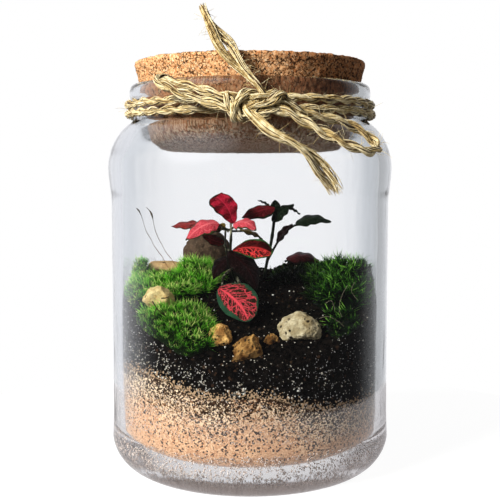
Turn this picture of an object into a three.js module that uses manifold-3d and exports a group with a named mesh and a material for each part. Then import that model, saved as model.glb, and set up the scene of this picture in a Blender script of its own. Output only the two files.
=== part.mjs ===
// A planted jar: a wide glass jar with a rolled rim, closed by a tapered cork and tied with
// sisal twine. Inside lie a bed of sand, a bed of dark soil, stones, moss and nerve plants.
// The origin is the middle of the jar's foot. +Z is up and the bow is at the front, at -Y.
import * as THREE from 'three';
import { mergeVertices } from 'three/addons/utils/BufferGeometryUtils.js';
import Module from 'manifold-3d';

const wasm = await Module();
wasm.setup();

// Driving dimensions, in millimetres.
const SEGMENTS = 36;
const GAP = 0.3;
const SLIVER = 0.03;

const FOOT_RADIUS = 35.7;
const HEEL_RADIUS = 14.5;
const PANEL_RADIUS = 49.7;
const SHOULDER_RADIUS = 50.8;
const SHOULDER_HEIGHT = 109;
const NECK_RADIUS = 41.9;
const RIM_RADIUS = 43.05;
const RIM_HEIGHT = 138.3;
const INNER_RADIUS = 46.2;
const INNER_HEEL_RADIUS = 11.7;
const FLOOR_HEIGHT = 7.8;
const MOUTH_RADIUS = 39.7;

const CORK_BOTTOM = 116;
const CORK_TOP = 146.4;
const CORK_TOP_RADIUS = 41.1;
const CORK_BOTTOM_RADIUS = 36.9;

const TWINE_DIAMETER = 3;
const TURN_HEIGHTS = [127.8, 131.1];

const SAND_HEIGHT = 34;
const SAND_FALL = 0.13;
const SAND_WAVE = 1.6;
const SAND_WAVE_LENGTH = 38;

const SOIL_FRONT_HEIGHT = 43.5;
const SOIL_RISE = 27.5;
const SOIL_RISE_LENGTH = 75;

const BLADE = 0.7;

// Colours as seen on the real thing.
const finish = (color, roughness, options = {}) =>
  new THREE.MeshStandardMaterial({ color, roughness, metalness: 0, ...options });
const glass = finish(0xe4eeec, 0.05, { transparent: true, opacity: 0.3 });
const cork = finish(0xc08a58, 0.9);
const twine = finish(0xc9b178, 0.9);
const sand = finish(0xd2a983, 0.95);
const soil = finish(0x1c1714, 0.95);
const creamStone = finish(0xd9c69c, 0.85);
const tanStone = finish(0xb98a4e, 0.85);
const brownStone = finish(0x6b4e37, 0.85);
const moss = finish(0x4f8a1e, 0.8);
const darkMoss = finish(0x2f6117, 0.8);
const redLeaf = finish(0xb5243f, 0.5);
const darkLeaf = finish(0x24301f, 0.5);

const vec = (x, y, z) => new THREE.Vector3(x, y, z);
const point = ([x, y, z]) => vec(x, y, z);

// A repeatable stream of numbers from 0 to 1.
function seeded(seed) {
  let state = seed;
  return () => {
    state = (state + 0x6d2b79f5) | 0;
    let mixed = Math.imul(state ^ (state >>> 15), 1 | state);
    mixed = (mixed + Math.imul(mixed ^ (mixed >>> 7), 61 | mixed)) ^ mixed;
    return ((mixed ^ (mixed >>> 14)) >>> 0) / 4294967296;
  };
}

// Turns a closed geometry into a solid that can be joined and cut.
function solid(geometry) {
  const bare = geometry.clone();
  bare.deleteAttribute('normal');
  bare.deleteAttribute('uv');
  const merged = mergeVertices(bare, 1e-4);
  const corners = merged.index.array;
  const kept = [];
  for (let i = 0; i < corners.length; i += 3) {
    const [a, b, c] = [corners[i], corners[i + 1], corners[i + 2]];
    if (a !== b && b !== c && c !== a) kept.push(a, b, c);
  }
  return new wasm.Manifold(new wasm.Mesh({
    numProp: 3,
    vertProperties: Float32Array.from(merged.attributes.position.array),
    triVerts: Uint32Array.from(kept),
  }));
}

// Turns a solid back into a geometry, without slivers and loose scraps.
function geometryOf(body) {
  const pieces = body.simplify(SLIVER).decompose();
  const largest = pieces.reduce((best, piece) => (piece.volume() > best.volume() ? piece : best));
  const { vertProperties, triVerts } = largest.getMesh();
  const geometry = new THREE.BufferGeometry();
  geometry.setAttribute('position', new THREE.BufferAttribute(Float32Array.from(vertProperties), 3));
  geometry.setIndex(new THREE.BufferAttribute(Uint32Array.from(triVerts), 1));
  geometry.computeVertexNormals();
  return geometry;
}

const joined = (solids) => solids.reduce((whole, piece) => whole.add(piece));
const cutBy = (body, cutters) => cutters.reduce((whole, cutter) => whole.subtract(cutter), body);

// Points along an arc of a profile, from one angle to another, in degrees.
function arc(centreX, centreZ, radius, from, to, steps) {
  return Array.from({ length: steps + 1 }, (_, i) => {
    const angle = THREE.MathUtils.degToRad(from + ((to - from) * i) / steps);
    return [centreX + radius * Math.cos(angle), centreZ + radius * Math.sin(angle)];
  });
}

// A turned body. The profile runs up the outside and closes on the axis.
function turned(profile, segments = SEGMENTS) {
  const outline = profile.map(([radius, height]) => new THREE.Vector2(radius, height));
  return new THREE.LatheGeometry(outline, segments).rotateX(Math.PI / 2);
}

// A round cord or stem along a curve through the given points.
function tube(points, radius, { sides = 6, steps = 12 } = {}) {
  const section = new THREE.Shape(Array.from({ length: sides }, (_, i) => {
    const angle = (2 * Math.PI * i) / sides;
    return new THREE.Vector2(radius * Math.cos(angle), radius * Math.sin(angle));
  }));
  const extrudePath = new THREE.CatmullRomCurve3(points.map(point));
  return new THREE.ExtrudeGeometry(section, { steps, extrudePath, bevelEnabled: false });
}

// The glass jar: a pushed-up foot, a round heel, a slightly recessed panel, a shoulder bead,
// a neck groove for the twine and a rolled rim, all of one thickness of pressed glass.
function jarGeometry() {
  const outside = [
    [0, 1.4],
    [26, 0.9],
    [30, 0],
    ...arc(FOOT_RADIUS, HEEL_RADIUS, HEEL_RADIUS, -90, 0, 4),
    [PANEL_RADIUS, 22],
    [PANEL_RADIUS, 98],
    [50.2, 102],
    [SHOULDER_RADIUS, SHOULDER_HEIGHT],
    [50.2, 113.6],
    [48.9, 117.6],
    [46.7, 121.2],
    [44.2, 123.8],
    [42.4, 125.2],
    [NECK_RADIUS, 126.6],
    [NECK_RADIUS, 132.2],
  ];
  const rim = [
    [42.8, 133.4],
    [RIM_RADIUS, 135.6],
    [42.5, 137.7],
    [41.4, RIM_HEIGHT],
    [40.3, 138.2],
    [MOUTH_RADIUS, 137.4],
  ];
  const inside = [
    [38.8, 127],
    [39.9, 123],
    [42.6, 119.6],
    [45.2, 115.4],
    [46.6, 110.2],
    [INNER_RADIUS, 101],
    ...arc(INNER_RADIUS - INNER_HEEL_RADIUS, FLOOR_HEIGHT + INNER_HEEL_RADIUS,
      INNER_HEEL_RADIUS, 0, -90, 3),
    [0, FLOOR_HEIGHT],
  ];
  return turned([...outside, ...rim, ...inside]);
}

// The cork: a tapered disc of pressed cork grains that stands proud of the rim, with a worn
// and chipped upper edge. It is modelled from its own lower face upwards.
function corkGeometry() {
  const height = CORK_TOP - CORK_BOTTOM;
  const rimLevel = RIM_HEIGHT - CORK_BOTTOM;
  const geometry = turned([
    [0, 0],
    [CORK_BOTTOM_RADIUS - 1, 0],
    [CORK_BOTTOM_RADIUS, 1],
    [MOUTH_RADIUS - 1.4, rimLevel - 8],
    [MOUTH_RADIUS - GAP, rimLevel],
    [CORK_TOP_RADIUS - 0.5, height - 3.2],
    [CORK_TOP_RADIUS, height - 0.9],
    [CORK_TOP_RADIUS - 0.9, height],
    [0, height],
  ]);
  const spot = geometry.attributes.position;
  for (let i = 0; i < spot.count; i += 1) {
    const angle = Math.atan2(spot.getY(i), spot.getX(i));
    const wear = 0.22 * Math.sin(7 * angle + 1) + 0.18 * Math.sin(17 * angle);
    const radius = Math.hypot(spot.getX(i), spot.getY(i));
    if (spot.getZ(i) > height - 3.5 && radius > 1) {
      const scale = (radius - 0.3 + wear) / radius;
      spot.setX(i, spot.getX(i) * scale);
      spot.setY(i, spot.getY(i) * scale);
    }
  }
  return geometry;
}

// The inner floor of the jar, and the upper faces of the sand and of the soil.
function floorHeight(x, y) {
  const inHeel = Math.hypot(x, y) - (INNER_RADIUS - INNER_HEEL_RADIUS);
  const radius = INNER_HEEL_RADIUS - GAP;
  if (inHeel <= 0) return FLOOR_HEIGHT + GAP;
  return FLOOR_HEIGHT + INNER_HEEL_RADIUS - Math.sqrt(Math.max(radius ** 2 - inHeel ** 2, 0));
}
const sandHeight = (x) =>
  SAND_HEIGHT - SAND_FALL * x + SAND_WAVE * Math.cos((2 * Math.PI * (x - 5)) / SAND_WAVE_LENGTH);
function soilHeight(x, y) {
  const run = Math.min((y + INNER_RADIUS) / SOIL_RISE_LENGTH, 1);
  const lumps = 0.5 * Math.sin(0.31 * x + 1) * Math.cos(0.27 * y);
  return SOIL_FRONT_HEIGHT + SOIL_RISE * (1 - (1 - run) ** 2.1) + lumps;
}

// A bed that fills the jar from one height to another, out to a given radius.
const BED_RINGS = [0, 14, 25, 34.5, 40.3, 44.2];
function bed(lower, upper, radius = INNER_RADIUS - GAP) {
  const rings = [...BED_RINGS, radius];
  const profile = [...rings.map((ring) => [ring, 0]), ...rings.toReversed().map((ring) => [ring, 1])];
  const geometry = turned(profile);
  const spot = geometry.attributes.position;
  for (let i = 0; i < spot.count; i += 1) {
    const [x, y] = [spot.getX(i), spot.getY(i)];
    spot.setZ(i, spot.getZ(i) < 0.5 ? lower(x, y) : upper(x, y));
  }
  return geometry;
}

// A stone: a ball pulled to its reach, roughened by rounded lumps and struck flat by faces.
// The faces are given as [x, y, z, distance], in shares of the reach.
function stone({ at, reach, turn = [0, 0, 0], lumps = 0.08, seed, faces = [], detail = 2 }, grow = 0) {
  const draw = seeded(seed);
  const waves = Array.from({ length: 5 }, () => ({
    way: vec(draw() - 0.5, draw() - 0.5, draw() - 0.5).multiplyScalar(6.5),
    phase: 6.28 * draw(),
  }));
  const geometry = new THREE.IcosahedronGeometry(1, detail);
  geometry.deleteAttribute('normal');
  geometry.deleteAttribute('uv');
  const spot = geometry.attributes.position;
  const corner = vec(0, 0, 0);
  for (let i = 0; i < spot.count; i += 1) {
    corner.fromBufferAttribute(spot, i);
    const swell = waves.reduce((sum, { way, phase }) => sum + Math.sin(corner.dot(way) + phase), 0);
    corner.multiplyScalar(1 + lumps * swell * 0.5);
    for (const [x, y, z, distance] of faces) {
      const away = vec(x, y, z).normalize();
      const over = corner.dot(away) - distance;
      if (over > 0) corner.addScaledVector(away, -over);
    }
    corner.multiply(point(reach));
    corner.addScaledVector(corner.clone().normalize(), grow);
    spot.setXYZ(i, corner.x, corner.y, corner.z);
  }
  const placing = new THREE.Matrix4()
    .makeRotationFromEuler(new THREE.Euler(...turn))
    .setPosition(...at);
  return solid(geometry.applyMatrix4(placing));
}

const STONES = {
  pebble_left: {
    at: [-30.8, -22, 64.6], reach: [5.7, 4.8, 4.3], turn: [0, 0.15, 0.2], lumps: 0.07, seed: 11,
    material: creamStone, faces: [[-0.6, -0.5, 0.8, 0.86], [0.8, -0.4, 0.6, 0.84]],
  },
  stone_front_left: {
    at: [-9.2, -34.2, 53.6], reach: [4.4, 4, 4.2], turn: [0, 0.2, 0.5], lumps: 0.1, seed: 23,
    material: tanStone, faces: [[0.9, -0.4, 0.5, 0.72], [-0.4, -0.9, 0.5, 0.82]],
  },
  stone_front_middle: {
    at: [-1.6, -39.2, 49.2], reach: [7.2, 4.6, 6], turn: [0.1, -0.45, 0.1], lumps: 0.05, seed: 37,
    material: tanStone,
    faces: [[0.1, -0.9, -0.6, 0.7], [-0.25, -0.3, 0.95, 0.46], [1, 0, -0.15, 0.78], [0.3, 0.1, 1, 0.84]],
  },
  stone_right: {
    at: [16.4, -30.6, 55], reach: [8.2, 6.4, 6.2], turn: [0.05, 0.1, -0.1], lumps: 0.12, seed: 44,
    material: creamStone, faces: [[0.3, -0.6, -0.9, 0.7], [-0.8, -0.2, 0.7, 0.8], [1, 0, 0, 0.86]],
  },
  stone_small: {
    at: [6.9, -34.6, 52.1], reach: [2.5, 2.2, 2.2], lumps: 0.1, seed: 53, detail: 1,
    material: tanStone,
  },
  slab_back: {
    at: [-32.2, 14.5, 72], reach: [8, 5.4, 2.6], turn: [0.05, 0.02, -0.25], lumps: 0.05, seed: 61,
    material: tanStone, faces: [[0, 0, 1, 0.72], [0, 0, -1, 0.72]],
  },
  stone_back: {
    at: [-16.4, 24.6, 76.4], reach: [10.6, 7.6, 10.2], turn: [0.1, 0.12, 0.25], lumps: 0.08, seed: 71,
    material: brownStone, faces: [[-0.9, -0.3, 0.1, 0.78], [0.5, -0.5, 0.75, 0.8]],
  },
};

// A leaf blade: an arched, folded sheet of even thickness with a rippled, pointed outline.
function leaf({ heel, tip, arch = [0, 0, 0], facing, width, fold = 0.25, ripple = 0.3, broad = 0.72 }) {
  const [rows, columns] = [6, width > 2 ? 4 : 2];
  const [from, to] = [point(heel), point(tip)];
  const middle = from.clone().lerp(to, 0.5).addScaledVector(point(arch), 2);
  const rib = new THREE.QuadraticBezierCurve3(from, middle, to);
  const frames = Array.from({ length: rows + 1 }, (_, i) => {
    const along = i / rows;
    const forward = rib.getTangent(along);
    const side = forward.clone().cross(point(facing)).normalize();
    const normal = side.clone().cross(forward);
    const reach = width * Math.max(Math.sin(Math.PI * along ** broad) ** 0.8, 0.08);
    return { along, centre: rib.getPoint(along), side, normal, reach };
  });
  const corner = (row, column, level) => {
    const { along, centre, side, normal, reach } = frames[row];
    const across = (2 * column) / columns - 1;
    const wave = ripple * Math.abs(across) * Math.sin(along * 19 + (across > 0 ? 0 : 1.6));
    return centre.clone()
      .addScaledVector(side, across * reach)
      .addScaledVector(normal, fold * reach * Math.abs(across) + wave + level * BLADE / 2);
  };
  const corners = [];
  const quad = (a, b, c, d) => corners.push(a, b, c, a, c, d);
  for (let row = 0; row < rows; row += 1) {
    for (let column = 0; column < columns; column += 1) {
      for (const level of [1, -1]) {
        const [a, b, c, d] = [[row, column], [row, column + 1], [row + 1, column + 1], [row + 1, column]]
          .map(([i, j]) => corner(i, j, level));
        if (level > 0) quad(a, b, c, d);
        else corners.push(a, c, b, a, d, c);
      }
    }
    quad(corner(row, 0, -1), corner(row, 0, 1), corner(row + 1, 0, 1), corner(row + 1, 0, -1));
    quad(corner(row + 1, columns, -1), corner(row + 1, columns, 1),
      corner(row, columns, 1), corner(row, columns, -1));
  }
  for (let column = 0; column < columns; column += 1) {
    quad(corner(0, column + 1, -1), corner(0, column + 1, 1), corner(0, column, 1), corner(0, column, -1));
    quad(corner(rows, column, -1), corner(rows, column, 1),
      corner(rows, column + 1, 1), corner(rows, column + 1, -1));
  }
  return solid(new THREE.BufferGeometry().setFromPoints(corners));
}

// The nerve plants. A stem runs from its hole in the soil through its points, and each leaf
// hangs on a stalk that joins the stem at its first point.
const PLANTS = {
  fittonia_front: {
    material: redLeaf,
    stems: [
      { radius: 1, points: [[-2.4, -7.5, 60], [-2.8, -7.6, 70], [-4.6, -8, 80], [-5.2, -8.4, 90.4]] },
    ],
    leaves: [
      { stalk: [-5, -8.3, 88.8], heel: [-6.4, -8.6, 90.6], tip: [-13.6, -9.6, 100.6],
        arch: [-0.2, -0.8, 0.9], facing: [0.25, -1, 0.35], width: 4.6, fold: 0.18, broad: 1 },
      { stalk: [-5.1, -8.3, 89], heel: [-8.4, -9.6, 89.9], tip: [-21.8, -16, 84],
        arch: [0.4, 0.3, 2.1], facing: [0.1, -0.75, 1], width: 4.2, fold: -0.3 },
      { stalk: [-5, -8, 88.4], heel: [-9, -5.5, 88.6], tip: [-28.6, 2.6, 87.6],
        arch: [0, 0, 1.1], facing: [0, -0.8, 1], width: 3, fold: -0.25 },
      { stalk: [-5.1, -8.4, 89.2], heel: [-3.4, -11, 90.6], tip: [1.4, -17, 86],
        arch: [0.2, -0.2, 0.8], facing: [0.35, -0.8, 1], width: 4.2, fold: -0.18 },
      { stalk: [-5, -8.2, 88], heel: [-1.6, -5.4, 89.4], tip: [4.8, -1.6, 83.4],
        arch: [0.8, 0.2, 1], facing: [0.5, 0.1, 1], width: 2.6, fold: -0.3 },
      { stalk: [-4.6, -8, 79.6], heel: [-3.6, -10.4, 80], tip: [8.4, -17.4, 78.6],
        arch: [0.4, -0.4, 2.2], facing: [0.1, -0.9, 1], width: 4.6, fold: -0.12 },
      { stalk: [-4.4, -8, 79], heel: [-6.4, -7.2, 81], tip: [-16.4, -9, 85.6],
        arch: [-0.4, 0, -0.6], facing: [0.2, -1, 0.5], width: 2.8, fold: 0.2 },
      { stalk: [-4, -7.8, 75], heel: [-2.2, -8.4, 77], tip: [5, -12.4, 68.6],
        arch: [1.5, -0.8, 1.4], facing: [0.7, -0.9, 0.5], width: 5, fold: -0.25 },
      { stalk: [-4, -7.8, 74.4], heel: [-6, -8.4, 76], tip: [-15.4, -11, 68.4],
        arch: [-0.8, -0.8, 1.4], facing: [-0.5, -0.8, 0.7], width: 4.8, fold: -0.25 },
      { stalk: [-3, -7.6, 71], heel: [-5.5, -22.4, 68], tip: [-0.2, -30.2, 58],
        arch: [0.4, -0.8, 0.8], facing: [-0.1, -1, 0.8], width: 7.4, fold: -0.14, broad: 0.5,
        stalkPoints: [[-4.4, -13, 74], [-5.4, -19, 72]] },
    ],
  },
  fittonia_back: {
    material: darkLeaf,
    stems: [
      { radius: 1, points: [[5.2, 6, 60], [5.6, 6, 70], [8, 5.6, 82], [9.4, 5.2, 92.4]] },
      { radius: 0.7, points: [[6.6, 5.8, 75], [9.6, 5.4, 80.4], [13, 5, 85.4], [16.6, 5, 88]] },
    ],
    leaves: [
      { stalk: [9.2, 5.2, 91.6], heel: [8, 4, 92.6], tip: [-2.4, -2.2, 93.4],
        arch: [0.2, 0, 0.8], facing: [0, -0.9, 1], width: 3.2, fold: -0.2 },
      { stalk: [9.4, 5.2, 92], heel: [9.4, 5.2, 93], tip: [9.4, 3.4, 98.8],
        arch: [0, 0.5, 0], facing: [0, -1, 0.3], width: 1.9, fold: 0.2 },
      { stalk: [9.4, 5.2, 91.4], heel: [10, 4.4, 92.2], tip: [16.6, 2, 96],
        arch: [0.3, -0.4, -0.7], facing: [-0.3, -1, 0.6], width: 3.3, fold: 0.15 },
      { stalk: [9.2, 5.4, 92], heel: [8, 8, 94.4], tip: [2.6, 12, 98.6],
        arch: [0, 0, 0.5], facing: [0.2, -0.7, 1], width: 1.3, fold: 0.1 },
      { stalk: [9.4, 5.3, 91], heel: [11.6, 8.4, 92], tip: [19.4, 10.4, 92.4],
        arch: [0, 0, 0.7], facing: [0, -0.7, 1], width: 1.6, fold: -0.1 },
      { stalk: [9.6, 5.4, 80.4], heel: [10.4, 4.6, 81.6], tip: [15.8, 3.2, 88.4],
        arch: [-0.5, 0, 0.5], facing: [-0.6, -0.8, 0.6], width: 1.9, fold: 0.1 },
      { stalk: [16.2, 5, 87.8], heel: [17, 4.9, 88.2], tip: [30, 4, 89],
        arch: [-0.3, 0, 2.1], facing: [0.1, -0.8, 1], width: 2.9, fold: -0.3 },
    ],
  },
  fittonia_right: {
    material: redLeaf,
    stems: [
      { radius: 0.8, points: [[13, 21, 62], [13, 21, 73], [13.6, 21, 75.4]] },
    ],
    leaves: [
      { stalk: [13.5, 21, 73.4], heel: [14.4, 20.6, 74.6], tip: [26.4, 18.6, 73.2],
        arch: [0.4, -0.2, 1.9], facing: [0, -0.6, 1], width: 4.4, fold: -0.3 },
      { stalk: [13.4, 21, 73], heel: [14, 22.6, 74.4], tip: [19.6, 31, 73.2],
        arch: [0, 0, 1.6], facing: [0, -0.3, 1], width: 3.4, fold: -0.3 },
    ],
  },
};

function plant({ stems, leaves }) {
  const parts = stems.map(({ points, radius }) => solid(tube(points, radius, { steps: 7 })));
  for (const { stalk, stalkPoints = [], ...shape } of leaves) {
    const heel = point(shape.heel);
    const inside = heel.clone().lerp(point(shape.tip), 0.12).toArray();
    const route = [stalk, ...stalkPoints, inside];
    parts.push(solid(tube(route, 0.55, { sides: 4, steps: 2 * route.length - 2 })));
    parts.push(leaf(shape));
  }
  return joined(parts);
}

// The plain holes in the soil that the stems stand in.
const stemHoles = Object.values(PLANTS).flatMap(({ stems }) => stems
  .filter(({ points }) => points[0][2] < soilHeight(points[0][0], points[0][1]))
  .map(({ points, radius }) => {
    const [foot, above] = points;
    const floor = point(foot).add(point(foot).sub(point(above)).setLength(GAP));
    return solid(tube([floor.toArray(), above], radius + GAP, { steps: 1 }));
  }));

// A mound of moss: a low dome with a coat of pointed shoots standing out of it.
function mound({ at, reach, turn = 0, height, shoots }, length, draw) {
  const place = (share, angle) => {
    const [x, y] = [share * reach[0] * Math.cos(angle), share * reach[1] * Math.sin(angle)];
    const [worldX, worldY] = [
      at[0] + x * Math.cos(turn) - y * Math.sin(turn),
      at[1] + x * Math.sin(turn) + y * Math.cos(turn),
    ];
    const dome = height * Math.sqrt(Math.max(1 - share ** 2, 0));
    return vec(worldX, worldY, soilHeight(worldX, worldY) + dome);
  };
  const shares = [0, 0.4, 0.75, 1];
  const dome = turned([[0, -1], ...shares.toReversed().map((share) => [share, 0])], 14);
  const spot = dome.attributes.position;
  for (let i = 0; i < spot.count; i += 1) {
    const share = Math.hypot(spot.getX(i), spot.getY(i));
    const placed = place(share, Math.atan2(spot.getY(i), spot.getX(i)));
    if (spot.getZ(i) < -0.5) placed.z -= height + 4;
    if (share > 0.99) placed.z -= 1.2;
    spot.setXYZ(i, placed.x, placed.y, placed.z);
  }
  const coat = Array.from({ length: shoots }, () => {
    const [share, angle] = [Math.sqrt(draw()) * 0.97, 2 * Math.PI * draw()];
    const root = place(share, angle);
    const outer = place(Math.min(share + 0.1, 1.07), angle);
    const lean = vec(outer.x - root.x, outer.y - root.y, 0).setLength(0.25 + share * 0.85);
    const way = lean.add(vec(draw() - 0.5, draw() - 0.5, 1)).normalize();
    const tall = length * (0.75 + 0.5 * draw());
    const shoot = new THREE.ConeGeometry(0.85, tall + 1.2, 3, 1);
    shoot.translate(0, tall / 2 - 0.6, 0);
    shoot.rotateY(6.28 * draw());
    shoot.applyQuaternion(new THREE.Quaternion().setFromUnitVectors(vec(0, 1, 0), way));
    return solid(shoot.translate(...root.toArray()));
  });
  return [solid(dome), ...coat];
}

function cushion({ mounds, length, seed }) {
  const draw = seeded(seed);
  return joined(mounds.flatMap((shape) => mound(shape, length, draw)));
}

const CUSHIONS = {
  moss_back_left: {
    mounds: [
      { at: [-28.4, -1], reach: [15.2, 13.6], turn: 0.05, height: 3.2, shoots: 26 },
      { at: [-19.4, 2], reach: [7.4, 8], height: 5.6, shoots: 16 },
      { at: [-40.4, 9.4], reach: [4.8, 6], turn: 0.2, height: 5.4, shoots: 8 },
      { at: [-37.4, -11], reach: [6.6, 7], height: 2.6, shoots: 8 },
    ],
    length: 3.2, seed: 5, material: moss,
  },
  moss_front_left: {
    mounds: [{ at: [-25.2, -31.4], reach: [13.6, 9.2], turn: -0.22, height: 5, shoots: 48 }],
    length: 3.2, seed: 6, material: moss,
  },
  moss_right: {
    mounds: [
      { at: [32.4, -1.4], reach: [12.8, 15.4], height: 8, shoots: 36 },
      { at: [29.6, -14], reach: [9, 6.6], height: 5, shoots: 12 },
      { at: [16.4, 5.6], reach: [8, 7.4], height: 3, shoots: 8 },
    ],
    length: 4, seed: 7, material: darkMoss,
  },
  moss_right_front: {
    mounds: [{ at: [30.6, -28.4], reach: [6, 5], turn: 0.5, height: 2.6, shoots: 18 }],
    length: 4, seed: 8, material: darkMoss,
  },
};

// The two thin spore stalks with their capsules, which grow out of the back cushion.
const SPORE_STALKS = [
  [[-23.8, -8, 64], [-25.4, -8.4, 75], [-29.6, -9.4, 84], [-33.2, -10.6, 91.4], [-35.2, -11.4, 95.6]],
  [[-28.6, -6, 64], [-29.6, -6.6, 75], [-33, -9, 84], [-37, -12, 91], [-39.2, -13.4, 95.2]],
];
const sporeStalks = SPORE_STALKS.flatMap((points, i) => {
  const tip = points.at(-1);
  const capsule = new THREE.OctahedronGeometry(1, 1).scale(0.7, 0.7, 1.4).translate(...tip);
  capsule.deleteAttribute('normal');
  capsule.deleteAttribute('uv');
  const stalk = tube(points, 0.45, { sides: 4, steps: 8 });
  return i === 0 ? [solid(stalk), solid(capsule)] : [solid(stalk)];
});

// What moss and plants keep clear of: the wall, the soil and the stones.
const room = solid(turned([[0, 0], [INNER_RADIUS - 2 * GAP, 0], [INNER_RADIUS - 2 * GAP, 120], [0, 120]]));
const raisedSoil = solid(bed(() => 0, (x, y) => soilHeight(x, y) + GAP, INNER_RADIUS + 1));
const grownStones = Object.values(STONES).map((shape) => stone(shape, 1.3 * GAP));
const fitted = (body) => cutBy(body.intersect(room), [raisedSoil, ...grownStones]);

// The twine: two turns in the neck groove and the knot that closes them at the front.
const cordRadius = TWINE_DIAMETER / 2;
const turnRadius = NECK_RADIUS + GAP + cordRadius;
const KNOT_STRANDS = [
  [[-6.6, -44.8, 130.4], [-5.6, -49.2, 131], [-4.8, -50.5, 127.6], [-4.4, -49.7, 124.2],
    [-2.4, -50.5, 126.4], [-0.4, -50.5, 130], [0.6, -48.6, 132]],
  [[-1.6, -49.6, 126.8], [2.6, -50.6, 127.4], [6.8, -50.3, 129.6], [9.8, -48.4, 131.4],
    [9.6, -46, 130]],
];
const turns = TURN_HEIGHTS.map((height) =>
  solid(new THREE.TorusGeometry(turnRadius, cordRadius, 6, 32).translate(0, 0, height)));
function knot(grow = 0) {
  const heart = new THREE.IcosahedronGeometry(1, 1)
    .scale(7.4 + grow, 2.9 + grow, 3.6 + grow)
    .rotateY(-0.16)
    .translate(1.6, -47.4, 128.6);
  heart.deleteAttribute('normal');
  heart.deleteAttribute('uv');
  const strands = KNOT_STRANDS.map((points) => solid(tube(points, cordRadius + grow, { steps: 10 })));
  return joined([solid(heart), ...strands]);
}

// The bow and the two loose ends, each a free length of the same twine. They start and end
// inside the knot and are cut back to its surface.
const BOW = {
  bow_loop_left: [
    [-3.6, -47, 130.6], [-6.9, -47.2, 131], [-10.2, -46.3, 131.8], [-14.3, -44.4, 133.3],
    [-19.1, -41.6, 134.9], [-23.7, -39.2, 136.3], [-27.1, -37.8, 137.3], [-29, -39.3, 137.2],
    [-28.8, -42.5, 136.1], [-26.5, -44.6, 134.6], [-23.3, -45.7, 132.9], [-18.8, -46.9, 131],
    [-14.1, -48, 129.6], [-10, -48.8, 128.2], [-6.9, -49, 127.2], [-3.6, -48.4, 126.8],
  ],
  bow_loop_right: [
    [6.4, -46.8, 130.2], [10.4, -46.6, 129.8], [13.5, -45.6, 128.1], [16.8, -44.2, 126.6],
    [20.7, -42.4, 125.4], [25, -40.2, 124.7], [29, -38.1, 124], [33.1, -36, 122.5],
    [36.9, -34.7, 120.3], [40, -33.8, 118], [41.6, -35.6, 115.9], [40.4, -40, 114.5],
    [37.2, -44, 114], [33.4, -46.2, 115.1], [28.8, -47.6, 116.9], [25, -47.9, 118.8],
    [21.3, -48.2, 120.8], [17.5, -48.5, 123], [14, -48.8, 125], [10.9, -49.1, 126.4],
    [6.4, -48.8, 127.4],
  ],
  bow_tail_down: [
    [-1.2, -49, 128], [-0.6, -50.4, 126.6], [0.9, -51.4, 124.9], [3.1, -52.2, 122.9],
    [5.5, -52.7, 120.6], [9.3, -52.5, 118.3], [13.3, -51.7, 116.5], [17.1, -50.5, 114.2],
    [20, -49.3, 111.3], [22.6, -47.8, 108.2], [25.3, -46.1, 104.7], [27.7, -44.4, 100.9],
  ],
  bow_tail_up: [
    [5, -48, 131], [4.4, -48.1, 132.6], [2.8, -47.4, 134.9], [0.3, -46.7, 137.6],
    [-2.2, -46.1, 140.4], [-4.7, -45.5, 143.8], [-7.2, -44.9, 147.3], [-9.8, -44, 150.7],
    [-12.3, -43, 154.1], [-14.2, -42.2, 157.5], [-15.2, -41.6, 160.4],
  ],
};

function named(name, geometry, material) {
  const mesh = new THREE.Mesh(geometry, material);
  mesh.name = name;
  return mesh;
}

const vessel = new THREE.Group();
const stopper = named('cork_stopper', corkGeometry(), cork);
stopper.position.z = CORK_BOTTOM;
vessel.add(named('glass_jar', jarGeometry(), glass), stopper);

const planting = new THREE.Group();
const soilBed = solid(bed((x) => sandHeight(x) + 2 * GAP, soilHeight));
const pockets = Object.values(STONES).map((shape) => stone(shape, GAP));
planting.add(named('sand_layer', geometryOf(solid(bed(floorHeight, sandHeight))), sand));
planting.add(named('soil', geometryOf(cutBy(soilBed, [...pockets, ...stemHoles])), soil));
for (const [name, shape] of Object.entries(STONES)) {
  planting.add(named(name, geometryOf(stone(shape)), shape.material));
}
const plants = Object.entries(PLANTS).map(([name, shape]) => [name, plant(shape), shape.material]);
for (const [name, body, material] of plants) {
  planting.add(named(name, geometryOf(body), material));
}
for (const [name, shape] of Object.entries(CUSHIONS)) {
  const extra = name === 'moss_back_left' ? sporeStalks : [];
  const body = fitted(joined([cushion(shape), ...extra]));
  planting.add(named(name, geometryOf(body), shape.material));
}

const tie = new THREE.Group();
tie.add(named('neck_twine', geometryOf(joined([...turns, knot()])), twine));
const clearOfKnot = knot(GAP);
for (const [name, points] of Object.entries(BOW)) {
  const cord = solid(tube(points, cordRadius, { sides: 8, steps: Math.round(1.15 * points.length) }));
  tie.add(named(name, geometryOf(cord.subtract(clearOfKnot)), twine));
}

const terrarium = new THREE.Group();
terrarium.add(vessel, planting, tie);

export default terrarium;
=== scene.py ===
"""A planted jar: glass, cork and sisal twine, with sand, soil, stones, moss and nerve plants inside."""
import math
import random

import bpy
import numpy as np
from mathutils import Matrix, Vector, noise


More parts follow.
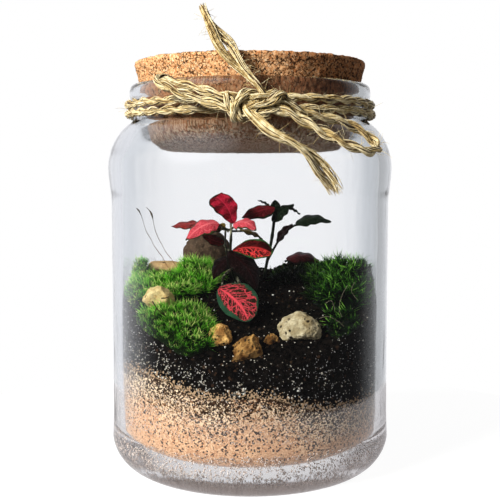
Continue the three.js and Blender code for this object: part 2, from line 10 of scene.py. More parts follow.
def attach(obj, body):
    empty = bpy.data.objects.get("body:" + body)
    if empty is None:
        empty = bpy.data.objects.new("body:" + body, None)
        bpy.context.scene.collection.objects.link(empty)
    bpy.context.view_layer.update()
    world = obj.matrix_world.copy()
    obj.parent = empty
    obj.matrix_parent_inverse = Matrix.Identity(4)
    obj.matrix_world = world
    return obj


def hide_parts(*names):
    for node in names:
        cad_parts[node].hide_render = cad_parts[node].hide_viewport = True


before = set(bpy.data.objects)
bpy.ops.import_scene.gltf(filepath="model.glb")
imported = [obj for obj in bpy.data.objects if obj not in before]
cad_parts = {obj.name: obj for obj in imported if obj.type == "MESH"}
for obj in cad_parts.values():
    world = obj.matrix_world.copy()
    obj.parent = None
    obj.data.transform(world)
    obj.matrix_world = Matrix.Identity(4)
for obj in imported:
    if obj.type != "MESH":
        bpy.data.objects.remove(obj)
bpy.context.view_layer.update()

# The camera stands in front of the jar, at the height of its shoulder, and looks slightly down.
# Its focal length is a number of pixels of the 500 pixel wide picture.
CAMERA_DISTANCE = 0.36
CAMERA_HEIGHT = 0.1074
CAMERA_TILT = 4.47
FOCAL_PIXELS = 991
PICTURE_WIDTH = 500
SENSOR_WIDTH = 36

camera = bpy.data.objects.new("camera", bpy.data.cameras.new("camera"))
camera.location = (0, -CAMERA_DISTANCE, CAMERA_HEIGHT)
camera.rotation_euler = (math.radians(90 - CAMERA_TILT), 0, 0)
camera.data.sensor_width = SENSOR_WIDTH
camera.data.lens = SENSOR_WIDTH * FOCAL_PIXELS / PICTURE_WIDTH
bpy.context.scene.collection.objects.link(camera)
bpy.context.scene.camera = camera
bpy.context.scene.view_settings.view_transform = "Standard"


# The bow: two loops and two loose ends of natural sisal twine, 3 mm thick, two plies laid up
# from dozens of stiff fibres. The loose ends come unlaid and fray where they were cut.
class Socket:
    """An output of a material's node. An expression on it adds Math nodes."""

    def __init__(self, look, link):
        self.look = look
        self.link = link

    def calculated(self, operation, *values):
        return self.look.node("ShaderNodeMath", {"operation": operation}, dict(enumerate(values)))

    def __add__(self, other):
        return self.calculated("ADD", self, other)

    def __sub__(self, other):
        return self.calculated("SUBTRACT", self, other)

    def __rsub__(self, other):
        return self.calculated("SUBTRACT", other, self)

    def __mul__(self, other):
        return self.calculated("MULTIPLY", self, other)

    def __pow__(self, other):
        return self.calculated("POWER", self, other)

    def __mod__(self, other):
        return self.calculated("FLOORED_MODULO", self, other)

    def __abs__(self):
        return self.calculated("ABSOLUTE", self)

    __radd__ = __add__
    __rmul__ = __mul__

    def cosine(self):
        return self.calculated("COSINE", self)

    def larger(self, other):
        return self.calculated("MAXIMUM", self, other)

    def smaller(self, other):
        return self.calculated("MINIMUM", self, other)

    def between(self, low, high):
        """0 below low, 1 above high and smooth between them. A low over high turns it round."""
        ends = {"From Min": low, "From Max": high}
        return self.look.node("ShaderNodeMapRange", {"interpolation_type": "SMOOTHSTEP"},
                              {"Value": self, **ends})


class Look:
    """The nodes of a material or world. node adds any node, and the others stand for common ones."""

    def __init__(self, name, owners=bpy.data.materials):
        self.owner = owners.new(name)
        self.owner.use_nodes = True
        self.tree = self.owner.node_tree
        self.tree.nodes.clear()

    def node(self, kind, settings, inputs, output=0):
        made = self.tree.nodes.new(kind)
        for name, value in settings.items():
            setattr(made, name, value)
        for key, value in inputs.items():
            entry = made.inputs[key]
            if isinstance(value, Socket):
                self.tree.links.new(value.link, entry)
            elif entry.type == "RGBA":
                entry.default_value = (*value, 1)
            else:
                entry.default_value = value
        return Socket(self, made.outputs[output]) if made.outputs else None

    def coordinate(self, kind="Object"):
        return self.node("ShaderNodeTexCoord", {}, {}, kind)

    def place(self, scale=(1, 1, 1), turn=(0, 0, 0)):
        inputs = {"Vector": self.coordinate(), "Scale": scale, "Rotation": turn}
        return self.node("ShaderNodeMapping", {}, inputs)

    def axes(self, kind="Object"):
        """The x, y and z of a coordinate."""
        spot = self.coordinate(kind)
        return [self.node("ShaderNodeSeparateXYZ", {}, {0: spot}, axis) for axis in range(3)]

    def light_path(self, kind):
        return self.node("ShaderNodeLightPath", {}, {}, kind)

    def attribute(self, name):
        return self.node("ShaderNodeAttribute", {"attribute_name": name}, {}, "Fac")

    def noise(self, size, detail=3, place=None):
        inputs = {"Vector": place or self.place(), "Scale": 1 / size, "Detail": detail}
        return self.node("ShaderNodeTexNoise", {}, inputs)

    def cells(self, size, output="Distance", feature="F1", place=None):
        inputs = {"Vector": place or self.place(), "Scale": 1 / size}
        return self.node("ShaderNodeTexVoronoi", {"feature": feature}, inputs, output)

    def draw(self, size, place=None):
        """A random number from 0 to 1 for each cell."""
        return self.node("ShaderNodeSeparateColor", {}, {0: self.cells(size, "Color", place=place)})

    def mixed(self, factor, first, second):
        return self.node("ShaderNodeMix", {"data_type": "RGBA"}, {0: factor, 6: first, 7: second}, 2)

    def bump(self, height, distance, strength):
        inputs = {"Height": height, "Distance": distance, "Strength": strength}
        return self.node("ShaderNodeBump", {}, inputs)

    def principled(self, inputs):
        return self.node("ShaderNodeBsdfPrincipled", {}, inputs)

    def finished(self, shader):
        self.node("ShaderNodeOutputMaterial", {}, {"Surface": shader})
        return self.owner

    def surface(self, inputs):
        return self.finished(self.principled(inputs))


MM = 0.001


def sisal(name, pale, dark):
    look = Look(name)
    streaks = look.noise(1.6 * MM, 4)
    return look.surface({
        "Base Color": look.mixed(streaks.between(0.36, 0.62), dark, pale),
        "Roughness": 0.5,
        "Sheen Weight": 0.1,
        "Normal": look.bump(look.noise(0.35 * MM, 2), 0.08 * MM, 0.6),
    })


# The third look is painted shade, not a colour of the sisal: the ply cores take it to darken the gaps
# between the plies, and a few fibres take it as dark lines between the pale ones.
SISAL = [
    sisal("sisal_pale", (0.88, 0.77, 0.49), (0.62, 0.48, 0.22)),
    sisal("sisal_straw", (0.62, 0.46, 0.19), (0.26, 0.16, 0.05)),
    sisal("sisal_painted_shade", (0.16, 0.095, 0.04), (0.04, 0.022, 0.012)),
]
PLY_OFFSET = 0.84 * MM
PLY_RADIUS = 0.76 * MM
CORE_SHARE = 0.86
FIBRE_RADIUS = 0.155 * MM
FIBRES_PER_PLY = 14
FIBRE_TIP = (0.8, 0.6, 0.35)
# The shares of the fibres that are pale, straw and painted shade.
FIBRE_SHARES = (7, 4, 0.8)
TWINE_LAY = 17 * MM
TWINE_SPACING = 0.8 * MM
PATH_SPACING = 1.2 * MM


def pick(piece):
    """Makes one piece the only selected one."""
    bpy.ops.object.select_all(action="DESELECT")
    piece.select_set(True)
    bpy.context.view_layer.objects.active = piece


def run_along(route):
    """How far along a route each of its points lies."""
    return np.concatenate([[0], np.cumsum(np.linalg.norm(np.diff(route, axis=0), axis=1))])


def smooth_route(corners, spacing):
    """Evenly spaced points in metres on a smooth curve through corners in millimetres."""
    knots = [np.array(corner) * MM for corner in corners]
    longer = [2 * knots[0] - knots[1], *knots, 2 * knots[-1] - knots[-2]]
    fine = []
    for before, start, end, after in zip(longer, longer[1:], longer[2:], longer[3:]):
        for share in np.linspace(0, 1, 16, endpoint=False):
            slope = (end - before) * share
            bend = (2 * before - 5 * start + 4 * end - after) * share ** 2
            twist = (3 * start - before - 3 * end + after) * share ** 3
            fine.append(start + 0.5 * (slope + bend + twist))
    fine = np.array([*fine, knots[-1]])
    run = run_along(fine)
    even = np.linspace(0, run[-1], max(round(run[-1] / spacing), 2) + 1)
    return np.column_stack([np.interp(even, run, fine[:, axis]) for axis in range(3)])


def cross_directions(route):
    """Two directions across the route at each point, carried along it without twist."""
    forward = np.gradient(route, axis=0)
    side = Vector(forward[0]).orthogonal()
    pairs = []
    for step in forward:
        ahead = Vector(step).normalized()
        side = (side - ahead * side.dot(ahead)).normalized()
        pairs.append((np.array(side), np.array(ahead.cross(side))))
    return pairs


def add_strand(curve, points, radii, finish):
    strand = curve.splines.new("POLY")
    strand.points.add(len(points) - 1)
    strand.points.foreach_set("co", np.column_stack([points, np.ones(len(points))]).ravel())
    strand.points.foreach_set("radius", radii)
    strand.material_index = finish


def new_strands(name, looks):
    """An empty curve whose points carry their own radius in metres."""
    curve = bpy.data.curves.new(name, "CURVE")
    curve.dimensions = "3D"
    curve.bevel_depth = 1
    curve.bevel_resolution = 0
    curve.use_fill_caps = True
    for look in looks:
        curve.materials.append(look)
    return curve


def made_mesh(name, curve):
    piece = bpy.data.objects.new(name, curve)
    bpy.context.scene.collection.objects.link(piece)
    pick(piece)
    bpy.ops.object.convert(target="MESH")
    bpy.ops.object.shade_smooth()
    return bpy.context.object


def steady(share):
    return 1.0


def around(spot, reach, angle, side, up):
    return spot + reach * (math.cos(angle) * side + math.sin(angle) * up)


def lay_twine(curve, route, draw, lay=TWINE_LAY, size=1.0, opened=steady, frayed=steady, cut=0.0,
              inner_fibres=0):
    """Lays up two plies of fibres round the route, one turn for each lay. opened parts the plies,
    frayed parts the fibres, cut shortens them at the end, and inner fibres fill a brush."""
    run = run_along(route)
    shares = run / run[-1]
    across = cross_directions(route)
    begin = draw.random()
    for ply in range(2):
        turns = 2 * math.pi * (run / lay + ply / 2 + begin)
        parted = np.array([PLY_OFFSET * size * opened(share) for share in shares])
        middle = np.array([around(spot, reach, turn, *pair)
                           for spot, reach, turn, pair in zip(route, parted, turns, across)])
        stop = len(route) - round(2 * cut * len(route))
        core = [CORE_SHARE * PLY_RADIUS * size * min(frayed(share), 1.15) for share in shares[:stop]]
        # The core takes the painted shade look, which darkens the gap between the plies.
        add_strand(curve, middle[:stop], np.array(core), 2)
        for fibre in range(FIBRES_PER_PLY + inner_fibres):
            start = 2 * math.pi * fibre / FIBRES_PER_PLY
            wander = [draw.uniform(0, 6.28) for _ in range(3)]
            reach_out = draw.uniform(0.9, 1.12) if fibre < FIBRES_PER_PLY else draw.uniform(0.3, 0.9)
            stop = len(route) - round(cut * len(route) * draw.random() ** 2)
            points = []
            for spot, turn, share, pair in zip(middle[:stop], turns, shares, across):
                angle = start - 0.7 * turn + 0.3 * math.sin(15 * share + wander[0])
                loose = 1 + (frayed(share) - 1) * (1 + 0.3 * math.sin(wander[1] + 5 * share))
                points.append(around(spot, PLY_RADIUS * size * reach_out * loose, angle, *pair))
            radii = np.full(len(points), FIBRE_RADIUS * draw.uniform(0.6, 1.4))
            radii[-len(FIBRE_TIP):] *= FIBRE_TIP
            add_strand(curve, np.array(points), radii, draw.choices((0, 1, 2), FIBRE_SHARES)[0])


BOW = {
    "bow_loop_left": {
        "corners": [
            (-3.6, -47, 130.6), (-6.9, -47.2, 131), (-10.2, -46.3, 131.8), (-14.3, -44.4, 133.3),
            (-19.1, -41.6, 134.9), (-23.7, -39.2, 136.3), (-27.1, -37.8, 137.3), (-29, -39.3, 137.2),
            (-28.8, -42.5, 136.1), (-26.5, -44.6, 134.6), (-23.3, -45.7, 132.9), (-18.8, -46.9, 131),
            (-14.1, -48, 129.6), (-10, -48.8, 128.2), (-6.9, -49, 127.2), (-3.6, -48.4, 126.8),
        ],
        "far_end": "object", "length": 62 * MM, "manner": {},
    },
    "bow_loop_right": {
        "corners": [
            (6.4, -46.8, 130.2), (10.4, -46.6, 129.8), (13.5, -45.6, 128.1), (16.8, -44.2, 126.6),
            (20.7, -42.4, 125.4), (25, -40.2, 124.7), (29, -38.1, 124), (33.1, -36, 122.5),
            (36.9, -34.7, 120.3), (40, -33.8, 118), (41.6, -35.6, 115.9), (40.4, -40, 114.5),
            (37.2, -44, 114), (33.4, -46.2, 115.1), (28.8, -47.6, 116.9), (25, -47.9, 118.8),
            (21.3, -48.2, 120.8), (17.5, -48.5, 123), (14, -48.8, 125), (10.9, -49.1, 126.4),
            (6.4, -48.8, 127.4),
        ],
        "far_end": "object", "length": 88 * MM, "manner": {},
    },
    "bow_tail_down": {
        "corners": [
            (-1.2, -49, 128), (-0.6, -50.4, 126.6), (0.9, -51.4, 124.9), (3.1, -52.2, 122.9),
            (5.5, -52.7, 120.6), (9.3, -52.5, 118.3), (13.3, -51.7, 116.5), (17.1, -50.5, 114.2),
            (20, -49.3, 111.3), (22.6, -47.8, 108.2), (25.3, -46.1, 104.7), (27.7, -44.4, 100.9),
        ],
        "far_end": "bare", "length": 40 * MM,
        "manner": {
            "lay": 46 * MM, "cut": 0.06, "inner_fibres": 16,
            "opened": lambda share: 1 + 0.65 * min(max(share - 0.35, 0) / 0.4, 1),
            "frayed": lambda share: 1 + 0.95 * max(share - 0.42, 0) / 0.58,
        },
    },
    "bow_tail_up": {
        "corners": [
            (5, -48, 131), (4, -48.1, 132.6), (2.2, -47.4, 134.9), (-0.4, -46.7, 137.6),
            (-3, -46.1, 140.4), (-5.6, -45.5, 143.8), (-8, -44.9, 147.3), (-10.4, -44, 150.7),
            (-12.6, -43, 154.1), (-14.2, -42.2, 157.5), (-15.2, -41.6, 160.4),
        ],
        "far_end": "bare", "length": 36 * MM,
        "manner": {
            "lay": 52 * MM, "cut": 0.1, "inner_fibres": 14,
            "opened": lambda share: (1 + 1.15 * math.exp(-((share - 0.6) / 0.2) ** 2)
                                     - 0.45 * share ** 8),
            "frayed": lambda share: (1 + 0.75 * math.exp(-((share - 0.64) / 0.22) ** 2)
                                     + 0.15 * share ** 8),
        },
    },
}
draw = random.Random(3)
for node, cord in BOW.items():
    strands = new_strands(node + "_twine", SISAL)
    route = smooth_route(cord["corners"], TWINE_SPACING)
    lay_twine(strands, route, draw, **cord["manner"])
    whole_way = smooth_route(cord["corners"], PATH_SPACING)
    bow_piece = made_mesh(node + "_twine", strands)
    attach(bow_piece, "root")
    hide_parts(node)


# The neck twine: the same sisal, wound twice round the groove of the neck and knotted at the
# front. The knot's strands wrap over the turns and hold the loops and the loose ends.
TURN_HEIGHTS = (127.8, 131.1)
TURN_RADIUS = 43.45
TURN_WANDER = 0.18
TURN_SIZE = 0.9
TURN_CORNERS = 40
TURN_LAY = 15 * MM
TURN_SPACING = 1.3 * MM
KNOT_SPACING = 0.7 * MM
KNOT_STRANDS = [
    [(-7.4, -44.5, 131.2), (-6.8, -49.2, 130.9), (-6.1, -50.4, 127.8), (-5.4, -49.6, 124.6),
     (-4.2, -47, 125.2)],
    [(1.4, -46.4, 131.8), (-1.6, -49.6, 131.9), (-4, -50.6, 129), (-4.4, -50.4, 126),
     (-3.8, -49.5, 123.9), (-2.4, -47, 124.6)],
    [(-2.6, -47.4, 125.4), (-0.6, -50.2, 126.6), (2.8, -50.6, 127.9), (6.4, -50.4, 129.6),
     (9.6, -48.8, 131.4), (10.4, -46.2, 130.6)],
    [(-4.4, -47, 130), (0, -49.4, 129.8), (4.4, -49.4, 131), (8.4, -47.2, 132)],
    [(-1, -47.8, 125.4), (3.4, -49.4, 125.6), (7.6, -48.9, 127), (10.4, -46.8, 128.2)],
    [(-5, -46.4, 127.6), (0, -47.6, 128.2), (5, -47.4, 128.8), (9, -46, 129)],
]
strands = new_strands("neck_twine_turns", SISAL)
for height in TURN_HEIGHTS:
    corners = []
    for step in range(TURN_CORNERS + 1):
        angle = 2 * math.pi * step / TURN_CORNERS - math.pi / 2
        radius = TURN_RADIUS + TURN_WANDER * math.sin(5 * angle + height)
        lift = TURN_WANDER * math.sin(3 * angle + 2 * height)
        corners.append((radius * math.cos(angle), radius * math.sin(angle), height + lift))
    lay_twine(strands, smooth_route(corners, TURN_SPACING), draw, TURN_LAY, TURN_SIZE)
for corners in KNOT_STRANDS:
    lay_twine(strands, smooth_route(corners, KNOT_SPACING), draw)
turns = made_mesh("neck_twine_turns", strands)
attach(turns, "root")
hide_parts("neck_twine")

# Stray fibres: short stiff hairs of sisal that spring out of the twine all along it. They are the
# ends of its fibres, so they are as stiff and pale as the twine itself.
STRAY_COUNT = 420
STRAY_RADIUS = 0.06 * MM
STRAY_TAPER = np.array((1, 0.9, 0.7, 0.4))
RING_HEIGHT = 129.5
GLASS_CLEAR_RADIUS = 43.4 * MM
# How many of them spring from each length of the bow, in its order, and from the neck's turns.
STRAY_SHARES = (3, 4, 3, 3, 8)
strands = new_strands("stray_fibres", SISAL)
ring = [(TURN_RADIUS * math.cos(a / 6), TURN_RADIUS * math.sin(a / 6), RING_HEIGHT) for a in range(38)]
stray_routes = [smooth_route(cord["corners"], 1 * MM) for cord in BOW.values()]
stray_routes.append(smooth_route(ring, 1 * MM))
for _ in range(STRAY_COUNT):
    route = draw.choices(stray_routes, STRAY_SHARES)[0]
    at = draw.randrange(2, len(route) - 3)
    ahead = Vector(route[at + 1] - route[at]).normalized()
    out = Vector([draw.gauss(0, 1) for _ in range(3)])
    out = (out - ahead * out.dot(ahead)).normalized()
    way = (out + ahead * draw.uniform(-1.6, 1.6)).normalized()
    root = Vector(route[at]) + out * 1.2 * MM
    reach = draw.uniform(1.6, 4.6) * MM
    droop = Vector((0, 0, draw.uniform(-0.5, 0.2)))
    points = [root + reach * share * (way + droop * share) for share in (0, 0.35, 0.7, 1)]
    if min(math.hypot(spot.x, spot.y) for spot in points) < GLASS_CLEAR_RADIUS:
        continue
    add_strand(strands, np.array(points), STRAY_TAPER * STRAY_RADIUS, draw.choice((0, 0, 1)))
strays = made_mesh("stray_fibres", strands)
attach(strays, "root")


# The jar: one piece of pressed soda glass, 3.5 mm thick, with a pushed-up foot, a round heel,
# a long panel, a shoulder bead, a groove for the tie and a rolled rim.
def arc(centre_x, centre_z, radius, first, last, steps):
    angles = [math.radians(first + (last - first) * i / steps) for i in range(steps + 1)]
    return [(centre_x + radius * math.cos(a), centre_z + radius * math.sin(a)) for a in angles]


def eased(corners, spacing=0.9):
    """A smooth profile through corners, in millimetres."""
    route = smooth_route([(radius, 0, height) for radius, height in corners], spacing * MM)
    return [(x / MM, z / MM) for x, _, z in route]


def started(name, primitive, **sizes):
    """A new primitive, made with nothing else selected."""
    bpy.ops.object.select_all(action="DESELECT")
    primitive(**sizes)
    piece = bpy.context.object
    piece.name = name
    return piece


def turned_up(name, profile, segments):
    """Extrudes a filled circle ring by ring along a profile of radius and height."""
    radius, height = profile[0]
    piece = started(name, bpy.ops.mesh.primitive_circle_add, vertices=segments, radius=radius * MM,
                    fill_type="NGON", location=(0, 0, height * MM))
    bpy.ops.object.transform_apply(location=True, rotation=True, scale=True)
    bpy.ops.object.mode_set(mode="EDIT")
    bpy.ops.mesh.select_all(action="SELECT")
    for next_radius, next_height in profile[1:]:
        rise = (0, 0, (next_height - height) * MM)
        bpy.ops.mesh.extrude_region_move(TRANSFORM_OT_translate={"value": rise})
        share = next_radius / radius
        bpy.ops.transform.resize(value=(share, share, 1), center_override=(0, 0, next_height * MM))
        radius, height = next_radius, next_height
    bpy.ops.mesh.select_all(action="SELECT")
    bpy.ops.mesh.normals_make_consistent(inside=False)
    bpy.ops.object.mode_set(mode="OBJECT")
    bpy.ops.object.shade_smooth()
    return piece


FOOT_RADIUS = 35.7
HEEL_RADIUS = 14.5
PANEL_RADIUS = 49.7
INNER_RADIUS = 46.2
INNER_HEEL_RADIUS = 11.7
FLOOR_HEIGHT = 6.9
JAR_SEGMENTS = 144

jar_outside = [(1, 1.4), (26, 0.9), (28.4, 0.35), (30, 0)]
jar_outside += arc(FOOT_RADIUS, HEEL_RADIUS, HEEL_RADIUS, -90, -8, 16)
jar_outside += eased([(PANEL_RADIUS, 22), (PANEL_RADIUS, 60), (PANEL_RADIUS, 96)], 8)
jar_outside += eased([
    (49.8, 99), (50.3, 103), (50.8, 109), (50.2, 113.6), (48.9, 117.6), (46.7, 121.2),
    (44.2, 123.8), (42.4, 125.2), (41.9, 126.6), (41.9, 132.2), (42.8, 133.4), (43.05, 135.6),
    (42.5, 137.7), (41.4, 138.3), (40.3, 138.2), (39.7, 137.4), (38.8, 127), (39.9, 123),
    (42.6, 119.6), (45.2, 115.4), (46.6, 110.2), (46.2, 101),
])
jar_inside = [(INNER_RADIUS, height) for height in (84, 66, 48, 30, 22)]
jar_inside += arc(INNER_RADIUS - INNER_HEEL_RADIUS, FLOOR_HEIGHT + INNER_HEEL_RADIUS,
                  INNER_HEEL_RADIUS, 0, -90, 14)
jar = turned_up("pressed_glass_jar", [*jar_outside, *jar_inside, (1, FLOOR_HEIGHT)], JAR_SEGMENTS)

look = Look("clear_glass")
_, _, z = look.axes()
streaks = look.noise(12 * MM, 2, look.place(scale=(1, 1, 0.25)))
scuffed_heel = z.between(16 * MM, 9 * MM) * 0.16
misted_shoulder = z.between(109 * MM, 114 * MM) * z.between(127 * MM, 120 * MM) * 0.06
glass = look.principled({
    "Base Color": (0.955, 0.972, 0.975),
    "Roughness": scuffed_heel + misted_shoulder,
    "IOR": 1.48,
    "Transmission Weight": 1.0,
    "Normal": look.bump(streaks, 1.2 * MM, 0.1),
})
clear = look.node("ShaderNodeBsdfTransparent", {}, {"Color": (0.9, 0.92, 0.92)})
mix = {0: look.light_path("Is Shadow Ray"), 1: glass, 2: clear}
jar.data.materials.append(look.finished(look.node("ShaderNodeMixShader", {}, mix)))
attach(jar, "root")
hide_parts("glass_jar")


# The cork: pressed cork grains bound into a tapered disc and cut to size, so its faces are
# full of small pits and its upper edge is chipped. It is pushed into the mouth.
def applied(piece):
    """Applies a piece's modifiers in their order."""
    pick(piece)
    for modifier in list(piece.modifiers):
        bpy.ops.object.modifier_apply(modifier=modifier.name)


def roughened(piece, kind, size, depth, middle):
    """Moves the surface in and out by a solid texture. A negative depth presses it in."""
    texture = bpy.data.textures.new(f"{piece.name}_{kind}", kind)
    texture.noise_scale = size
    modifier = piece.modifiers.new("rough", "DISPLACE")
    modifier.texture = texture
    modifier.texture_coords = "LOCAL"
    modifier.strength = depth
    modifier.mid_level = middle
    applied(piece)


CORK_SEGMENTS = 420
CORK_BOTTOM = 117.6
CORK_TOP = 146.4
CORK_RING_STEP = 1.1
cork_side = eased([(36.4, 121.8), (38.3, 130.3), (39.4, 138.3), (40.6, 143.2), (41.1, 145.5)], 0.6)
cork_top = [(40.9, 146.1), (40.2, CORK_TOP)]
cork_top += [(radius, CORK_TOP) for radius in np.arange(39.4, 1, -CORK_RING_STEP)]
cork_foot = [(1, CORK_BOTTOM), (20, CORK_BOTTOM), (28.6, CORK_BOTTOM), (32.6, 118.4), (35, 119.9)]
cork = turned_up("cork_stopper_body", [*cork_foot, *cork_side, *cork_top], CORK_SEGMENTS)
roughened(cork, "CLOUDS", 3.5 * MM, 0.7 * MM, 0.6)
roughened(cork, "VORONOI", 1.3 * MM, 0.55 * MM, 0.5)

look = Look("pressed_cork")
bits = look.noise(0.75 * MM, 6)
grain = look.draw(1.15 * MM)
x, _, z = look.axes()
# Painted shade: the cork is darkened towards its right side (+x), where the light falls off, and gets
# more dark pits there.
right_side_shade = (x + look.noise(9 * MM, 3) * (30 * MM)).between(6 * MM, 46 * MM)
gaps = look.cells(1.15 * MM, feature="DISTANCE_TO_EDGE").between(0.09, 0.015)
pits = (look.noise(0.85 * MM, 3, look.place(turn=(1, 1, 0))) - right_side_shade * 0.05).between(0.41, 0.35)
tan = look.mixed(bits.between(0.33, 0.62), (0.36, 0.12, 0.034), (0.9, 0.55, 0.28))
tan = look.mixed(grain * 0.5, tan, (0.62, 0.29, 0.11))
tan = look.mixed(look.draw(0.5 * MM).between(0.9, 0.95) * 0.55, tan, (0.98, 0.78, 0.52))
tan = look.mixed(right_side_shade * 0.66, tan, (0.3, 0.1, 0.034))
# Painted shade: the plug below the rim, inside the neck, is darkened and has fewer dark hollows.
inside_neck = z.between(139 * MM, 136.5 * MM)
tan = look.mixed(inside_neck * 0.68, tan, (0.2, 0.07, 0.036))
# Painted light: the foot, whose underside gets little light, is painted pale so that it looks lit from
# below.
lit_foot = look.mixed(bits.between(0.4, 0.6), (0.38, 0.18, 0.11), (1.0, 0.8, 0.62))
tan = look.mixed(z.between(123 * MM, 118.5 * MM) * 0.8, tan, lit_foot)
# Painted shade: the pits and the gaps between the grains are only a bump, and their near-black colour is
# painted shade inside them.
hollows = pits.larger(gaps * look.noise(3 * MM, 2).between(0.42, 0.6)) * (1 - 0.35 * inside_neck)
cork.data.materials.append(look.surface({
    "Base Color": look.mixed(hollows * 0.92, tan, (0.03, 0.01, 0.004)),
    "Roughness": 0.9,
    "Specular IOR Level": 0.25,
    "Normal": look.bump(bits * 0.5 - hollows, 0.5 * MM, 0.8),
}))
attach(cork, "root")
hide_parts("cork_stopper")


# The sand: a bed of fine pinkish quartz sand in the jar's heel, with a wavy top. Dark grains
# of the soil above have trickled into its upper part.
SAND_RADIUS = 45.95
SAND_FLOOR = 6.8
SAND_HEIGHT = 34
SAND_FALL = 0.13
SAND_WAVE = 1.6
SAND_WAVE_LENGTH = 38
SAND_CREST = 5
SAND_SEGMENTS = 160
# The bed's top is cast flat at LID_HEIGHT. All of it that is over WALL_FOOT then takes the waves.
LID_HEIGHT = 40
WALL_FOOT = 19.5


def sand_height(x):
    wave = math.cos(2 * math.pi * (x - SAND_CREST) / SAND_WAVE_LENGTH)
    return SAND_HEIGHT - SAND_FALL * x + SAND_WAVE * wave


def sand_top(x):
    """The same height for a look, in metres."""
    wave = ((x - SAND_CREST * MM) * (2 * math.pi / (SAND_WAVE_LENGTH * MM))).cosine()
    return SAND_HEIGHT * MM - SAND_FALL * x + wave * (SAND_WAVE * MM)


def shaped(piece, rule):
    """Moves each point of a piece by a rule on its place, in millimetres."""
    for point in piece.data.vertices:
        point.co = Vector(rule(*(point.co / MM))) * MM
    piece.data.update()
    return piece


heel_curve = arc(SAND_RADIUS - INNER_HEEL_RADIUS, FLOOR_HEIGHT + INNER_HEEL_RADIUS,
                 INNER_HEEL_RADIUS - 0.1, -90, 0, 10)
# The first steps of the curve bulge a little, so that the bed fills the heel to the glass.
bulge = [max(1 - step / 3, 0) for step in range(len(heel_curve))]
heel = [(radius + 0.35 * more, height - 0.15 * more)
        for (radius, height), more in zip(heel_curve, bulge)]
walls = [(SAND_RADIUS, 19.6 + 0.4 * step) for step in range(1, 5)]
lid = [(radius, LID_HEIGHT) for radius in (45.8, 44, 40, 32, 20, 10, 1)]
sand = turned_up("quartz_sand", [(1, SAND_FLOOR), (20, SAND_FLOOR), *heel, *walls, *lid], SAND_SEGMENTS)


def sand_spot(x, y, z):
    share = min(max(z - WALL_FOOT, 0) / 1.8, 1)
    return x, y, z + (sand_height(x) - z) * share


shaped(sand, sand_spot)

look = Look("quartz_sand")
x, _, z = look.axes()
below_top = sand_top(x) - z + (look.noise(8 * MM, 2) - 0.5) * (7 * MM)
grain = look.draw(0.4 * MM)
colour = look.mixed(grain, (0.48, 0.2, 0.085), (0.97, 0.63, 0.385))
sorted_grain = look.mixed(grain.between(0.25, 0.75), (0.1, 0.042, 0.016), (1.0, 0.79, 0.56))
colour = look.mixed(below_top.between(15 * MM, 2 * MM), colour, sorted_grain)
colour = look.mixed(look.noise(14 * MM, 2).between(0.35, 0.65) * 0.4, colour, (0.62, 0.31, 0.16))
dark_share = below_top.between(7 * MM, -3 * MM) * 0.5 + below_top.between(26 * MM, 6 * MM) * 0.24
dark_grain = look.draw(0.5 * MM, look.place(turn=(1, 0, 0))) + dark_share
colour = look.mixed(dark_grain.between(0.96, 0.99), colour, (0.035, 0.016, 0.008))
# Painted light: near the floor the bed is painted a pale grey that stands for the grey sheen of the
# thick heel glass in front of it, not a colour of the sand.
heel_glass_haze = look.mixed(grain, (0.42, 0.37, 0.35), (0.9, 0.86, 0.86))
colour = look.mixed(z.between(9.5 * MM, 7.4 * MM) * 0.75, colour, heel_glass_haze)
sand.data.materials.append(look.surface({
    "Base Color": colour,
    "Roughness": 0.85,
    "Normal": look.bump(grain, 0.25 * MM, 0.5),
}))
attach(sand, "root")
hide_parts("sand_layer")


# The soil: dark damp peat with white perlite and a few bark crumbs. It lies on the sand and
# rises to the back, and its top is crumbly.
SOIL_RADIUS = 45.95
SOIL_FRONT_HEIGHT = 43.5
SOIL_RISE = 27.5
SOIL_RISE_LENGTH = 75
SOIL_SEGMENTS = 288


def soil_height(x, y):
    run = min((y + INNER_RADIUS) / SOIL_RISE_LENGTH, 1)
    waves = 0.5 * math.sin(0.31 * x + 1) * math.cos(0.27 * y)
    dip = 3.2 * math.exp(-((x - 7) / 9) ** 2 - ((y - 38) / 24) ** 2)
    hump = 3.4 * math.exp(-((x - 18) / 7.5) ** 2 - ((y - 24) / 10) ** 2)
    return SOIL_FRONT_HEIGHT + SOIL_RISE * (1 - (1 - run) ** 2.1) + waves - dip + hump


# The bed is cast as a plain drum whose heights are shares, from 0 on the sand to 1 at its top.
soil_floor = [(1, 0), (20, 0), (SOIL_RADIUS - 0.2, 0)]
soil_wall = [(SOIL_RADIUS, share) for share in np.linspace(0.02, 0.98, 22)]
soil_top = [(radius, 1) for radius in np.arange(SOIL_RADIUS - 0.3, 1, -1.0)]
drum = [(radius, share / MM) for radius, share in [*soil_floor, *soil_wall, *soil_top]]
soil = turned_up("peat_soil", drum, SOIL_SEGMENTS)


def soil_spot(x, y, z):
    share = z * MM
    low, high = sand_height(x) - 0.05, soil_height(x, y)
    crumb = 0.9 * noise.noise(Vector((x, y, 0)) * 0.9) + 0.5 * noise.noise(Vector((x, y, 9)) * 2.1)
    return x, y, low + (high + crumb * 0.7 - low) * share


shaped(soil, soil_spot)

